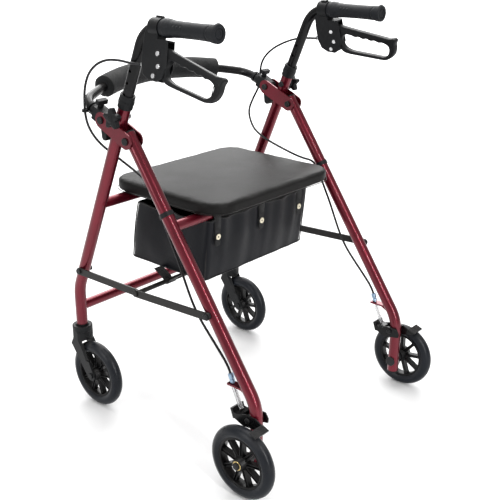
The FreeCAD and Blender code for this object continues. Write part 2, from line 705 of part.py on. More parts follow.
def lock_knob():
    """The T-shaped pull on top of each socket."""
    up = vec(0, *socket_point(0, 1)) - vec(0, *BACKREST_PIVOT)
    foot = vec(FRAME_X, *socket_point(24, 10.8))
    stem = rod(foot, up, 4, 8)
    neck = rod(foot + up * 4, up, 6, 8)
    head = block((-13, 13), (-5.5, 5.5), (0, 9))
    head = softened(head, 2.5, lambda edge: edge.BoundBox.ZLength > 5)
    head = softened(head, 1.2, lambda edge: edge.BoundBox.ZMin > 8.9)
    head.rotate(vec(0, 0, 0), X_AXIS, BACKREST_RISE)
    head.translate(foot + up * 11)
    return fuse([stem, neck, head])


def cable_ring_centre():
    return vec(FRAME_X + 18, 437, 685)


def cable_rings():
    """A snap-on ring that carries the cable beside the backrest tube."""
    centre = cable_ring_centre()
    way = vec(0, *socket_point(1)) - vec(0, *BACKREST_PIVOT)
    tube_at = vec(FRAME_X, *socket_point(46.6))
    band = ring(tube_at, way, BACKREST_R + 3.0, BACKREST_R + 1.4, 6)
    eye = rod(centre - Z_AXIS * 3, Z_AXIS, 6, 6)
    stalk = block((FRAME_X + 9.6, FRAME_X + 16), (434.5, 439.5), (682.5, 688.5))
    joined = fuse([band, eye, stalk.cut(rod(tube_at - way * 20, way, BACKREST_R, 40))])
    return joined.cut(rod(centre - Z_AXIS * 10, Z_AXIS, CABLE_R + 0.7, 20))


# ---- handles ----

def handle_points():
    corner_z = GRIP_Z
    corner_y = front_leg_y(corner_z)
    return [vec(FRAME_X, front_leg_y(HANDLE_FOOT_Z), HANDLE_FOOT_Z), vec(FRAME_X, corner_y, corner_z),
            vec(FRAME_X, GRIP_END + 6, corner_z)]


def handle_tube():
    """The inner tube, with its height holes, bent back into the hand grip."""
    pipe = tube(handle_points(), HANDLE_R, 1.2, HANDLE_BEND_R)
    for count in range(-2, 5):
        height = KNOB_Z + count * HOLE_PITCH * FRONT_UP.z
        pipe = pipe.cut(rod_x((front_leg_y(height), height), HOLE_R, FRAME_X - 20, FRAME_X + 20))
    return pipe


def grip():
    """A moulded grip: bulge at the thumb, slim palm and a flared end."""
    stations = [(GRIP_START, 15.5), (GRIP_START - 12, 17.5), (GRIP_START - 28, 15.2),
                (GRIP_START - 60, GRIP_R), (GRIP_END + 34, GRIP_R), (GRIP_END + 8, 16.5),
                (GRIP_END + 1.5, 16.5), (GRIP_END, 15.0)]
    points = [vec(FRAME_X, GRIP_START, GRIP_Z)]
    points += [vec(FRAME_X, y, GRIP_Z + r) for y, r in stations]
    points += [vec(FRAME_X, GRIP_END, GRIP_Z)]
    face = Part.Face(Part.makePolygon(points + points[:1]))
    body = face.revolve(vec(FRAME_X, 0, GRIP_Z), Y_AXIS, 360)
    room = rod(vec(FRAME_X, GRIP_END + 6, GRIP_Z), Y_AXIS, HANDLE_R, 200)
    return body.cut(room)


def leaned(shape):
    """Leans a right-hand brake shape outwards about the grip's axis."""
    shape.rotate(vec(FRAME_X, 0, GRIP_Z), Y_AXIS, -BRAKE_TILT)
    return shape


def brake_housing():
    """Clamp ring, flat cheek plates with a gap for the lever, and cable socket."""
    z = GRIP_Z
    half = HOUSING_W / 2
    shape = [(251, z + 14), (206, z + 14), (202, z - 17), (198, z - 46), (196, z - 70),
             (203, z - 87), (216, z - 95), (236, z - 94), (252, z - 86), (260, z - 68),
             (262, z - 44), (262, z - 12)]
    body = outline(shape, FRAME_X - half, FRAME_X + half)
    body = softened(body, 3.0, lambda edge: edge.BoundBox.XLength < 0.1 and edge.Length > 12)
    clamp = rod(vec(FRAME_X, GRIP_START + 0.3, z), Y_AXIS, 17.0, 24)
    body = fuse([body, clamp])
    back = block((FRAME_X - 30, FRAME_X + 30), (180, GRIP_START + 0.3), (z - 21, z + 30))
    body = body.cut(back)
    gap = outline([(150, z - 24), (231, z - 24), (231, z - 60), (238, z - 100), (150, z - 110)],
                  FRAME_X - LEVER_W / 2 - 0.5, FRAME_X + LEVER_W / 2 + 0.5)
    body = body.cut(gap)
    slide = block((FRAME_X - 5, FRAME_X + 5), (GRIP_START + 4, GRIP_START + 18), (z + 16, z + 20))
    ferrule = rod(vec(FRAME_X, 250, z - 68), Y_AXIS, 4.2, 20)
    body = fuse([body, softened(slide, 1.0), ferrule])
    body = body.cut(rod(vec(FRAME_X, 261, z - 68), Y_AXIS, CABLE_R + 0.5, 10))
    for y, depth in housing_rivet_places():
        body = body.cut(rod_x((y, z - depth), 3.0, FRAME_X - 30, FRAME_X + 30))
    body = leaned(body)
    points = handle_points()
    return body.cut(tube(points, HANDLE_R, 0, HANDLE_BEND_R))


def housing_rivet_places():
    return [LEVER_PIVOT, (214.5, 68.0), (224.0, 85.5)]


def housing_rivets():
    rivets = []
    half = HOUSING_W / 2
    for y, depth in housing_rivet_places():
        at = (y, GRIP_Z - depth)
        rivets.append(fuse([rod_x(at, 3.0, FRAME_X - half, FRAME_X + half),
                            bolt_head(at, 4.2, 1.6, FRAME_X + half),
                            bolt_head(at, 4.2, 1.6, FRAME_X - half, -1)]))
    return leaned(Part.makeCompound(rivets))


def brake_lever(side):
    """A closed finger loop that swings up towards the grip."""
    z = GRIP_Z
    outer = [(226, z - 40), (222, z - 33), (206, z - 31), (184, z - 36), (74, z - 52),
             (64, z - 50), (58, z - 54), (62, z - 61), (62, z - 78), (69, z - 91),
             (86, z - 101), (179, z - 95), (196, z - 92), (207, z - 78), (209, z - 56),
             (226, z - 52)]
    inner = [(176, z - 56), (90, z - 65), (76, z - 76), (80, z - 86), (92, z - 90),
             (172, z - 84), (184, z - 74), (184, z - 62)]
    half = LEVER_W / 2
    loop = outline(outer, FRAME_X - half, FRAME_X + half)
    loop = loop.cut(outline(inner, FRAME_X - half, FRAME_X + half))
    at = (LEVER_PIVOT[0], z - LEVER_PIVOT[1])
    eye = rod_x(at, 8.5, FRAME_X - half, FRAME_X + half)
    lever = fuse([loop, eye]).cut(rod_x(at, 3.0 + PIN_GAP, FRAME_X - half, FRAME_X + half))
    for y, depth in housing_rivet_places()[1:]:
        lever = lever.cut(rod_x((y, z - depth), 7.5, FRAME_X - half, FRAME_X + half))
    lever.rotate(vec(FRAME_X, *at), X_AXIS, LEVER_DROOP[side])
    return leaned(lever)


def height_knob():
    """A five-lobed hand knob on the height-lock stud."""
    at = knob_at()
    face = FRAME_X + LEG_R + 0.5
    hub = rod_x(at, 9, face, face + 8)
    disc = rod_x(at, 13, face + 6, face + 20)
    lobes = []
    for count in range(5):
        angle = math.radians(90 + 72 * count)
        spot = (at[0] + 15.5 * math.cos(angle), at[1] + 15.5 * math.sin(angle))
        lobes.append(rod_x(spot, 6.5, face + 6, face + 20))
    return fuse([hub, disc] + lobes).cut(rod_x(at, 4 + PIN_GAP, face - 5, face + 16))


# ---- brake cables ----

def cable_route(side):
    """Hand-chosen points from the brake housing down to the barrel adjuster."""
    lean = math.radians(BRAKE_TILT)
    start = vec(FRAME_X + 68 * math.sin(lean), 262, GRIP_Z - 68 * math.cos(lean))
    clip = clip_centre()
    mouth = adjuster_mouth()
    way = stop_direction()
    if side == "left":
        upper = [vec(267, 292, 791), vec(267, 330, 794), vec(268, 368, 791), vec(269, 402, 776),
                 vec(269, 426, 751), vec(269, 437, 716), vec(269, 437, 668), vec(262, 428, 638),
                 vec(249, 414, 614), vec(236, 393, 596), vec(230, 363, 580), vec(229, 328, 566),
                 vec(233, 293, 551), vec(243, 266, 531)]
    else:
        upper = [vec(267, 292, 791), vec(268, 328, 787), vec(269, 364, 775), vec(269, 400, 757),
                 vec(269, 426, 734), vec(269, 437, 708), vec(269, 437, 666), vec(267, 456, 634),
                 vec(259, 466, 600), vec(246, 441, 569), vec(235, 415, 559), vec(231, 388, 549),
                 vec(231, 362, 541), vec(235, 320, 528), vec(245, 285, 516)]
    lower = [vec(251, 224, 462), vec(251, 204, 425), vec(251, 187, 388), vec(251, 170, 352),
             vec(251, 151, 322), vec(251, 127, 296), vec(251, 101, 270)]
    return ([start] + upper + [clip + REAR_UP * 16, clip - REAR_UP * 14] + lower
            + [mouth + way * 16, mouth])


def brake_cable(side):
    points = cable_route(side)
    wire, radii = bend(points)
    direction = points[1] - points[0]
    section = Part.Face(Part.Wire(Part.makeCircle(CABLE_R, points[0], direction)))
    cable = wire.makePipe(section)
    expected = section.Area * wire.Length
    print(side, "cable length", round(wire.Length), "least radius", round(min(radii), 1),
          "volume ratio", round(cable.Volume / expected, 4))
    return cable


def sided_parts():
    """Every node that exists once on each side, as built on the right."""
    return {
        "front_leg": front_leg, "rear_leg": rear_leg, "lock_knob": lock_knob,
        "handle_tube": handle_tube, "grip": grip, "brake_housing": brake_housing,
        "housing_rivets": housing_rivets, "height_knob": height_knob, "brake_arm": brake_arm,
        "caster_fork": caster_fork,
        "rear_rim": lambda: rim((0, WHEEL_R), REAR_WHEEL_X, 18),
        "rear_tyre": lambda: tyre((0, WHEEL_R), REAR_WHEEL_X),
        "front_rim": lambda: rim(caster_axle(), FRAME_X, FORK_ARM_IN - 0.4),
        "front_tyre": lambda: tyre(caster_axle(), FRAME_X),
    }


def paired_parts():
    """Nodes that hold the left and the right copy together."""
    return {
        "bracket_plates": bracket_plates, "leg_collars": leg_collars, "frame_bolts": frame_bolts,
        "leg_plugs": leg_plugs, "cable_clips": cable_clips, "cable_stops": cable_stops,
        "barrel_adjusters": barrel_adjusters, "rear_axle_bolts": rear_axle_bolts,
        "brake_springs": brake_springs, "front_struts": front_struts, "rear_struts": rear_struts,
        "strut_end_bolts": strut_end_bolts, "backrest_sockets": backrest_sockets,
        "cable_rings": cable_rings,
    }


def single_parts():
    return {
        "front_seat_tube": lambda: cross_tube(FRONT_SEAT_TUBE, front_leg_points()),
        "lower_cross_tube": lambda: cross_tube((FRONT_LEG_Y, LOWER_TUBE_Z), front_leg_points()),
        "rear_seat_tube": lambda: cross_tube(REAR_SEAT_TUBE, rear_leg_points()),
        "cross_rod": cross_rod, "pull_strap": pull_strap, "seat_board": seat_board,
        "seat_cushion": seat_cushion, "seat_hinge_clips": seat_hinge_clips, "seat_bag": seat_bag,
        "bag_tabs": bag_tabs, "bag_snaps": bag_snaps, "backrest_tube": backrest_tube,
        "backrest_foam": backrest_foam,
    }


def write(node, shape):
    solids = []
    for solid in shape.Solids:
        moved = solid.copy()
        moved.translate(vec(0, -MIDDLE_Y, 0))
        solids.append(moved)
    done = solids[0] if len(solids) == 1 else Part.makeCompound(solids)
    if not done.isValid():
        print("not valid:", node)
    done.exportStep("parts/" + node + ".step")


def main():
    os.makedirs("parts", exist_ok=True)
    for node, make in single_parts().items():
        write(node, make())
    for node, make in paired_parts().items():
        write(node, both(make()))
    for node, make in sided_parts().items():
        shape = make()
        for side in SIDES:
            write(node + "_" + side, on_side(shape, side))
    for side in SIDES:
        write("brake_lever_" + side, on_side(brake_lever(side), side))
        write("brake_cable_" + side, on_side(brake_cable(side), side))


main()
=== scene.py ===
import json
import math

import bmesh
import bpy
from bpy.props import FloatProperty, FloatVectorProperty, IntProperty, PointerProperty
from mathutils import Matrix, Vector, noise


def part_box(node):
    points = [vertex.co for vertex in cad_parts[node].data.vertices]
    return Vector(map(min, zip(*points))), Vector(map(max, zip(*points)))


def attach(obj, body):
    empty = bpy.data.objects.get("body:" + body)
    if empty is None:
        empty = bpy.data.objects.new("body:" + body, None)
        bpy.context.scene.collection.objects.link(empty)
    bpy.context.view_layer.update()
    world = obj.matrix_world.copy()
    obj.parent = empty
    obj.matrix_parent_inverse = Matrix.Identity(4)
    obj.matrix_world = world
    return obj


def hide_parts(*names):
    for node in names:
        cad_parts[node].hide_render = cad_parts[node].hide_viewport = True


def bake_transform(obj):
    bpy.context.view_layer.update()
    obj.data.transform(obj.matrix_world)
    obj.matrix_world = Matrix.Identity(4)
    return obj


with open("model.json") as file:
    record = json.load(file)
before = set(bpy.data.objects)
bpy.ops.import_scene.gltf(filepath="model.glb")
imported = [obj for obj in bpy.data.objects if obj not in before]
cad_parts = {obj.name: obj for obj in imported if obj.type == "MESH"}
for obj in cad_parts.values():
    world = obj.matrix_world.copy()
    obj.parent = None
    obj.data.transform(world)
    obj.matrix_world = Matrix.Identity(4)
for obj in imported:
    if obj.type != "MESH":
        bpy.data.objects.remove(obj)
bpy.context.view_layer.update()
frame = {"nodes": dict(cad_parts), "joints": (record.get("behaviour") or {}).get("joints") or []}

bl_info = {
    "name": "Rollator walker looks",
    "version": (1, 0, 0),
    "blender": (4, 5, 0),
    "location": "View3D > Sidebar > Rollator",
    "description": "Upholstery, mouldings, cables and finishes for a folding rollator walker",
    "category": "Object",
}

SIDES = {"left": -1, "right": 1}
MM = 0.001
JOINTS = {joint["name"]: joint for joint in frame["joints"]}
AXLE_Y = JOINTS["rear_wheel_spin_right"]["pos_m"][1]
FRAME_X = JOINTS["caster_swivel_right"]["pos_m"][0]
GRIP_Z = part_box("handle_tube_right")[1].z - 0.0111
BRAKE_TILT = math.radians(13.5)
CUSHION_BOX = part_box("seat_cushion")
CUSHION_CORNER = 0.052
BAG_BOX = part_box("seat_bag")


def place(x, y, z):
    """A point in the frame, from millimetres across, ahead of the rear axle and up."""
    return Vector((x * MM, AXLE_Y + y * MM, z * MM))


# ---------------------------------------------------------------- sizes and colours

def length(name, text, default, lowest=0.0):
    return FloatProperty(name=name, description=text, default=default, min=lowest,
                         subtype="DISTANCE", unit="LENGTH")


def colour(name, text, default):
    return FloatVectorProperty(name=name, description=text, default=default, size=3, min=0.0,
                               max=1.0, subtype="COLOR")


class RollatorSizes(bpy.types.PropertyGroup):
    """Sizes of the soft and small pieces."""
    cushion_voxel: length("Cushion voxel", "Mesh size of the cushion while it is puffed up", 0.0045)
    cushion_swell: length("Cushion swell", "Most that the seat pad may swell", 0.0026)
    crown: length("Seat crown", "Height of the seat's middle above its edge", 0.003)
    seam_radius: length("Seam radius", "Radius of the sewn piping", 0.0008)
    bag_sag: length("Bag sag", "How far the bag's rim drops between its tabs", 0.0035)
    bag_fold: length("Bag folds", "Depth of the folds in the bag's cloth", 0.0032)
    foam_swell: length("Foam swell", "Fullness of the backrest foam's middle", 0.0008)
    cable_width: length("Cable width", "Outer diameter of the brake cables", 0.005)
    spring_wire: length("Spring wire", "Diameter of the return springs' wire", 0.0013)
    spring_turns: IntProperty(name="Spring turns", description="Turns in each return spring",
                              default=17, min=3)
    spokes: IntProperty(name="Spokes", description="Spokes in each wheel", default=9, min=3)
    stitch_pitch: length("Stitch pitch", "Distance between stitches", 0.0032, 0.001)


class RollatorColours(bpy.types.PropertyGroup):
    """Colours of the finishes."""
    frame_red: colour("Frame", "Metallic wine red of the tubes", (0.125, 0.0035, 0.013))
    black_steel: colour("Black tube", "Painted black steel", (0.0035, 0.0035, 0.004))
    strut: colour("Struts", "Flat bars of the folding linkage", (0.013, 0.0122, 0.0115))
    moulding: colour("Mouldings", "Black moulded plastic", (0.0035, 0.004, 0.0048))
    grip: colour("Grips", "Soft grey-black grip", (0.0055, 0.0065, 0.0085))
    rim: colour("Rims", "Black wheel rims", (0.002, 0.002, 0.0024))
    tyre: colour("Tyres", "Blue-black tyres", (0.0040, 0.0056, 0.0090))
    vinyl: colour("Seat", "Seat vinyl", (0.0055, 0.0052, 0.0050))
    nylon: colour("Bag", "Bag cloth", (0.0014, 0.0018, 0.0038))
    webbing: colour("Webbing", "Straps and tabs", (0.004, 0.004, 0.0045))
    foam: colour("Foam", "Backrest foam", (0.0055, 0.006, 0.0066))
    snap: colour("Snaps", "Press-stud caps", (0.72, 0.66, 0.50))
    zinc: colour("Zinc", "Blue-plated adjusters", (0.30, 0.42, 0.55))
    steel: colour("Steel", "Bright rivets and springs", (0.62, 0.62, 0.63))
    brass: colour("Brass", "Bearing rings", (0.62, 0.47, 0.20))


def sizes():
    return bpy.context.scene.rollator_sizes


def colours():
    return bpy.context.scene.rollator_colours


# ---------------------------------------------------------------- node helpers

class Tree:
    """A node tree with short ways to add nodes and join their sockets."""

    def __init__(self, tree):
        self.tree = tree

    def add(self, kind, inputs=None, **settings):
        node = self.tree.nodes.new(kind)
        for key, value in settings.items():
            setattr(node, key, value)
        for key, value in (inputs or {}).items():
            if isinstance(value, bpy.types.NodeSocket):
                self.tree.links.new(value, node.inputs[key])
            else:
                node.inputs[key].default_value = value
        return node

    def math(self, operation, first, second=0.0, clamp=False):
        node = self.add("ShaderNodeMath", {0: first, 1: second}, operation=operation,
                        use_clamp=clamp)
        return node.outputs[0]

    def blend(self, factor, first, second):
        node = self.add("ShaderNodeMix", data_type="RGBA")
        for socket, value in ((node.inputs[0], factor), (node.inputs[6], first),
                              (node.inputs[7], second)):
            if isinstance(value, bpy.types.NodeSocket):
                self.tree.links.new(value, socket)
            else:
                socket.default_value = value
        return node.outputs[2]

    def ramp(self, value, low, high, out_low=0.0, out_high=1.0):
        node = self.add("ShaderNodeMapRange", {0: value, 1: low, 2: high, 3: out_low,
                                               4: out_high})
        return node.outputs[0]


def effect_group(name, inputs, outputs, build):
    """A shader node group with named inputs and outputs, built only once."""
    if name in bpy.data.node_groups:
        return bpy.data.node_groups[name]
    group = bpy.data.node_groups.new(name, "ShaderNodeTree")
    for label, kind, default in inputs:
        socket = group.interface.new_socket(label, in_out="INPUT", socket_type=kind)
        if default is not None:
            socket.default_value = default
    for label, kind in outputs:
        group.interface.new_socket(label, in_out="OUTPUT", socket_type=kind)
    tree = Tree(group)
    entry = tree.add("NodeGroupInput")
    leave = tree.add("NodeGroupOutput")
    for label, socket in build(tree, entry.outputs).items():
        group.links.new(socket, leave.inputs[label])
    return group


def grain_effect():
    """Fine moulded or leathery grain: a height for bump and a mask for colour."""
    def build(tree, inputs):
        cells = tree.add("ShaderNodeTexVoronoi", {"Vector": inputs["Vector"],
                                                  "Scale": inputs["Scale"]},
                         feature="DISTANCE_TO_EDGE")
        cloudy = tree.add("ShaderNodeTexNoise", {"Vector": inputs["Vector"], "Detail": 4.0,
                                                 "Scale": inputs["Scale"]})
        edge = tree.ramp(cells.outputs["Distance"], 0.0, 0.25)
        mixed = tree.math("ADD", tree.math("MULTIPLY", edge, inputs["Cells"]),
                          tree.math("MULTIPLY", cloudy.outputs["Fac"], 0.6))
        broad = tree.add("ShaderNodeTexNoise", {"Vector": inputs["Vector"], "Scale": 9.0,
                                                "Detail": 3.0})
        return {"Height": mixed, "Mask": broad.outputs["Fac"]}
    return effect_group("Fine grain", [("Vector", "NodeSocketVector", None),
                                       ("Scale", "NodeSocketFloat", 900.0),
                                       ("Cells", "NodeSocketFloat", 1.0)],
                        [("Height", "NodeSocketFloat"), ("Mask", "NodeSocketFloat")], build)


def wear_effect():
    """Rubbed spots: a mask of small scuffs and fine scratches, thickest where noise gathers."""
    def build(tree, inputs):
        gather = tree.add("ShaderNodeTexNoise", {"Vector": inputs["Vector"], "Scale": 14.0,
                                                 "Detail": 3.0})
        scuff = tree.add("ShaderNodeTexNoise", {"Vector": inputs["Vector"], "Scale": 420.0,
                                                "Detail": 6.0, "Roughness": 0.65})
        stretched = tree.add("ShaderNodeMapping", {"Vector": inputs["Vector"],
                                                   "Scale": (900.0, 900.0, 60.0)})
        scratch = tree.add("ShaderNodeTexNoise", {"Vector": stretched.outputs[0], "Scale": 1.0,
                                                  "Detail": 2.0})
        spots = tree.ramp(scuff.outputs["Fac"], 0.62, 0.72)
        lines = tree.ramp(scratch.outputs["Fac"], 0.72, 0.78)
        where = tree.ramp(gather.outputs["Fac"], 0.5, 0.72)
        both = tree.math("MAXIMUM", spots, lines)
        return {"Mask": tree.math("MULTIPLY", tree.math("MULTIPLY", both, where),
                                  inputs["Amount"], True)}
    return effect_group("Rubbed spots", [("Vector", "NodeSocketVector", None),
                                         ("Amount", "NodeSocketFloat", 0.5)],
                        [("Mask", "NodeSocketFloat")], build)


def dust_effect():
    """A faint settled dust on faces that look up."""
    def build(tree, inputs):
        normal = tree.add("ShaderNodeSeparateXYZ",
                          {0: tree.add("ShaderNodeNewGeometry").outputs["Normal"]})
        patch = tree.add("ShaderNodeTexNoise", {"Vector": inputs["Vector"], "Scale": 24.0,
                                                "Detail": 6.0, "Roughness": 0.7})
        up = tree.ramp(normal.outputs["Z"], 0.1, 0.9)
        soft = tree.ramp(patch.outputs["Fac"], 0.35, 0.75)
        return {"Mask": tree.math("MULTIPLY", tree.math("MULTIPLY", up, soft),
                                  inputs["Amount"], True)}
    return effect_group("Settled dust", [("Vector", "NodeSocketVector", None),
                                         ("Amount", "NodeSocketFloat", 0.15)],
                        [("Mask", "NodeSocketFloat")], build)


def weave_effect():
    """A plain weave from two crossed sets of threads."""
    def build(tree, inputs):
        split = tree.add("ShaderNodeSeparateXYZ", {0: inputs["Vector"]})
        turns = tree.math("MULTIPLY", inputs["Threads"], math.tau)
        across = tree.math("SINE", tree.math("MULTIPLY", split.outputs["X"], turns))
        along = tree.math("SINE", tree.math("MULTIPLY", split.outputs["Y"], turns))
        over = tree.math("MULTIPLY", across, along)
        ribs = tree.math("MAXIMUM", tree.math("ABSOLUTE", across), tree.math("ABSOLUTE", along))
        height = tree.math("ADD", tree.math("MULTIPLY", over, 0.5), ribs)
        fuzz = tree.add("ShaderNodeTexNoise", {"Vector": inputs["Vector"], "Scale": 60.0,
                                               "Detail": 4.0})
        return {"Height": height, "Mask": fuzz.outputs["Fac"]}
    return effect_group("Plain weave", [("Vector", "NodeSocketVector", None),
                                        ("Threads", "NodeSocketFloat", 900.0)],
                        [("Height", "NodeSocketFloat"), ("Mask", "NodeSocketFloat")], build)


SHADER_SOCKETS = {
    "coat_weight": "Coat Weight", "coat_roughness": "Coat Roughness",
    "sheen_weight": "Sheen Weight", "sheen_roughness": "Sheen Roughness",
    "specular_ior_level": "Specular IOR Level",
}


def coating(name, tint, roughness, metallic=0.0, grain=(900.0, 0.0, 0.15, 0.0002), wear=None,
            dust=0.02, variety=0.25, gloss_spread=0.08, weave=None, **shader_settings):
    """A Principled material with grain, colour variety, rubbed spots of wear and a little dust.

    grain is (scale, cells, strength, depth); weave is (threads per metre, strength, depth) and
    follows the piece's UV map; wear is (colour, amount).
    """
    if name in bpy.data.materials:
        return bpy.data.materials[name]
    material = bpy.data.materials.new(name)
    material.use_nodes = True
    tree = Tree(material.node_tree)
    shader = material.node_tree.nodes["Principled BSDF"]
    where = tree.add("ShaderNodeTexCoord")
    spot = where.outputs["Object"]
    scale, cells, strength, depth = grain
    fine = tree.add("ShaderNodeGroup", node_tree=grain_effect())
    material.node_tree.links.new(spot, fine.inputs["Vector"])
    fine.inputs["Scale"].default_value = scale
    fine.inputs["Cells"].default_value = cells
    base = tuple(tint) + (1.0,)
    light = tuple(min(1.0, part * (1 + variety)) for part in tint) + (1.0,)
    dark = tuple(part * (1 - variety) for part in tint) + (1.0,)
    shade = tree.blend(tree.ramp(fine.outputs["Mask"], 0.3, 0.7), dark, light)
    rough = tree.ramp(fine.outputs["Mask"], 0.25, 0.75, roughness - gloss_spread,
                      roughness + gloss_spread)
    if wear:
        worn = tree.add("ShaderNodeGroup", node_tree=wear_effect())
        material.node_tree.links.new(spot, worn.inputs["Vector"])
        worn.inputs["Amount"].default_value = wear[1]
        shade = tree.blend(worn.outputs["Mask"], shade, tuple(wear[0]) + (1.0,))
    if dust:
        settled = tree.add("ShaderNodeGroup", node_tree=dust_effect())
        material.node_tree.links.new(spot, settled.inputs["Vector"])
        settled.inputs["Amount"].default_value = dust
        shade = tree.blend(settled.outputs["Mask"], shade, (0.42, 0.40, 0.38, 1.0))
        rough = tree.math("ADD", rough, tree.math("MULTIPLY", settled.outputs["Mask"], 0.4), True)
    bump = tree.add("ShaderNodeBump", {"Strength": strength, "Distance": depth,
                                       "Height": fine.outputs["Height"]})
    if weave:
        cloth = tree.add("ShaderNodeGroup", node_tree=weave_effect())
        material.node_tree.links.new(where.outputs["UV"], cloth.inputs["Vector"])
        cloth.inputs["Threads"].default_value = weave[0]
        bump = tree.add("ShaderNodeBump", {"Strength": weave[1], "Distance": weave[2],
                                           "Height": cloth.outputs["Height"],
                                           "Normal": bump.outputs["Normal"]})
        # Painted shade: the weave's low points between the threads are darkened towards the dark tint
        thread = tree.ramp(cloth.outputs["Height"], -0.2, 1.4, 0.55, 1.25)
        shade = tree.blend(tree.math("SUBTRACT", 1.25, thread, True), shade, dark)
    links = material.node_tree.links
    links.new(shade, shader.inputs["Base Color"])
    links.new(rough, shader.inputs["Roughness"])
    links.new(bump.outputs["Normal"], shader.inputs["Normal"])
    shader.inputs["Metallic"].default_value = metallic
    for key, value in shader_settings.items():
        shader.inputs[SHADER_SOCKETS[key]].default_value = value
    material.diffuse_color = base
    return material


# ---------------------------------------------------------------- finishes

def red_paint():
    return coating("Wine red metallic", colours().frame_red, 0.30, 0.72, (2600.0, 0.3, 0.10, 0.0001),
                   ((0.30, 0.06, 0.09), 0.30), 0.01, 0.18, 0.05, coat_weight=0.38,
                   coat_roughness=0.06)


def black_tube():
    return coating("Black painted steel", colours().black_steel, 0.24, 0.0,
                   (1800.0, 0.2, 0.12, 0.0001), ((0.20, 0.20, 0.20), 0.5), 0.05, 0.3, specular_ior_level=0.2)


def strut_paint():
    return coating("Black strut paint", colours().strut, 0.42, 0.0, (1500.0, 0.2, 0.15, 0.0001),
                   ((0.25, 0.24, 0.23), 0.6), 0.06, 0.3, specular_ior_level=0.2)


def moulding():
    return coating("Black moulding", colours().moulding, 0.46, 0.0, (1400.0, 0.8, 0.22, 0.00015),
                   ((0.10, 0.10, 0.11), 0.4), 0.06, 0.25, specular_ior_level=0.2)


def grip_skin():
    return coating("Grip skin", colours().grip, 0.52, 0.0, (1100.0, 1.0, 0.25, 0.0002),
                   ((0.09, 0.09, 0.10), 0.3), 0.06, 0.25, specular_ior_level=0.2)


def rim_moulding():
    return coating("Rim moulding", colours().rim, 0.36, 0.0, (1200.0, 0.6, 0.15, 0.0001),
                   ((0.07, 0.07, 0.07), 0.4), 0.05, 0.25, specular_ior_level=0.2)


def tyre_rubber():
    return coating("Tyre", colours().tyre, 0.30, 0.0, (700.0, 0.3, 0.12, 0.00015),
                   None, 0.10, 0.25, 0.10, specular_ior_level=0.2)


def seat_vinyl():
    return coating("Seat vinyl", colours().vinyl, 0.44, 0.0, (850.0, 1.0, 0.35, 0.00025),
                   None, 0.02, 0.2, 0.02, specular_ior_level=0.12)


def board_moulding():
    return coating("Seat board", (0.018, 0.018, 0.018), 0.55, 0.0, (900.0, 1.0, 0.3, 0.0002),
                   specular_ior_level=0.2)


def nylon():
    return coating("Bag nylon", colours().nylon, 0.42, 0.0, (500.0, 0.2, 0.1, 0.0001), None, 0.03,
                   0.3, 0.02, (700.0, 0.25, 0.0002), sheen_weight=0.04, sheen_roughness=0.35,
                   specular_ior_level=0.16)


def webbing():
    return coating("Webbing", colours().webbing, 0.66, 0.0, (700.0, 0.2, 0.1, 0.0001), None, 0.04,
                   0.3, 0.05, (420.0, 0.6, 0.0005), sheen_weight=0.15, specular_ior_level=0.2)


def foam_skin():
    return coating("Closed-cell foam", colours().foam, 0.82, 0.0, (1000.0, 1.2, 0.55, 0.0004),
                   None, 0.08, 0.25, 0.05, sheen_weight=0.1, specular_ior_level=0.2)


def press_stud():
    return coating("Press stud", colours().snap, 0.30, 0.1, (600.0, 0.2, 0.1, 0.0001),
                   ((0.45, 0.40, 0.30), 0.5), 0.02, 0.12)


def plated():
    return coating("Blue zinc", colours().zinc, 0.30, 0.85, (900.0, 0.2, 0.15, 0.0001),
                   ((0.6, 0.6, 0.6), 0.5), 0.02, 0.2)


def bright_steel():
    return coating("Bright steel", colours().steel, 0.25, 0.9, (900.0, 0.2, 0.12, 0.0001),
                   None, 0.02, 0.15)


def black_bolt():
    return coating("Black oxide", (0.020, 0.020, 0.021), 0.34, 0.5, (900.0, 0.3, 0.2, 0.0001),
                   ((0.25, 0.25, 0.25), 0.5), 0.04, 0.3, specular_ior_level=0.2)


def brass():
    return coating("Brass", colours().brass, 0.28, 0.9, (900.0, 0.2, 0.12, 0.0001), None, 0.02,
                   0.15)


def cable_sleeve():
    return coating("Cable sleeve", (0.012, 0.012, 0.013), 0.38, 0.0, (700.0, 0.2, 0.1, 0.0001),
                   None, 0.03, 0.25, specular_ior_level=0.2)


def clear_ferrule():
    return coating("Clear ferrule", (0.75, 0.76, 0.76), 0.25, 0.0, (500.0, 0.2, 0.1, 0.0001), None,
                   0.0, 0.08)


# ---------------------------------------------------------------- mesh helpers

def mesh_object(name, points, faces, material, smooth=True):
    mesh = bpy.data.meshes.new(name)
    mesh.from_pydata([tuple(point) for point in points], [], faces)
    mesh.validate()
    thing = bpy.data.objects.new(name, mesh)
    bpy.context.collection.objects.link(thing)
    mesh.materials.append(material)
    for face in mesh.polygons:
        face.use_smooth = smooth
    return thing


def outward(thing):
    """Merges doubled points and turns every face outwards."""
    work = bmesh.new()
    work.from_mesh(thing.data)
    bmesh.ops.remove_doubles(work, verts=work.verts, dist=1e-6)
    bmesh.ops.recalc_face_normals(work, faces=work.faces)
    work.to_mesh(thing.data)
    work.free()
    return thing


def loft(name, rings, material, caps=True, closed=True):
    """A skin over rings of equal point count; caps close its two ends."""
    count = len(rings[0])
    points = [point for ring in rings for point in ring]
    faces = []
    steps = count if closed else count - 1
    for row in range(len(rings) - 1):
        for step in range(steps):
            a = row * count + step
            b = row * count + (step + 1) % count
            faces.append((a, b, b + count, a + count))
    if caps:
        faces.append(tuple(reversed(range(count))))
        faces.append(tuple(range((len(rings) - 1) * count, len(rings) * count)))
    return outward(mesh_object(name, points, faces, material))


def circle(centre, across, up, radius, count=24):
    return [centre + across * (radius * math.cos(math.tau * step / count))
            + up * (radius * math.sin(math.tau * step / count)) for step in range(count)]


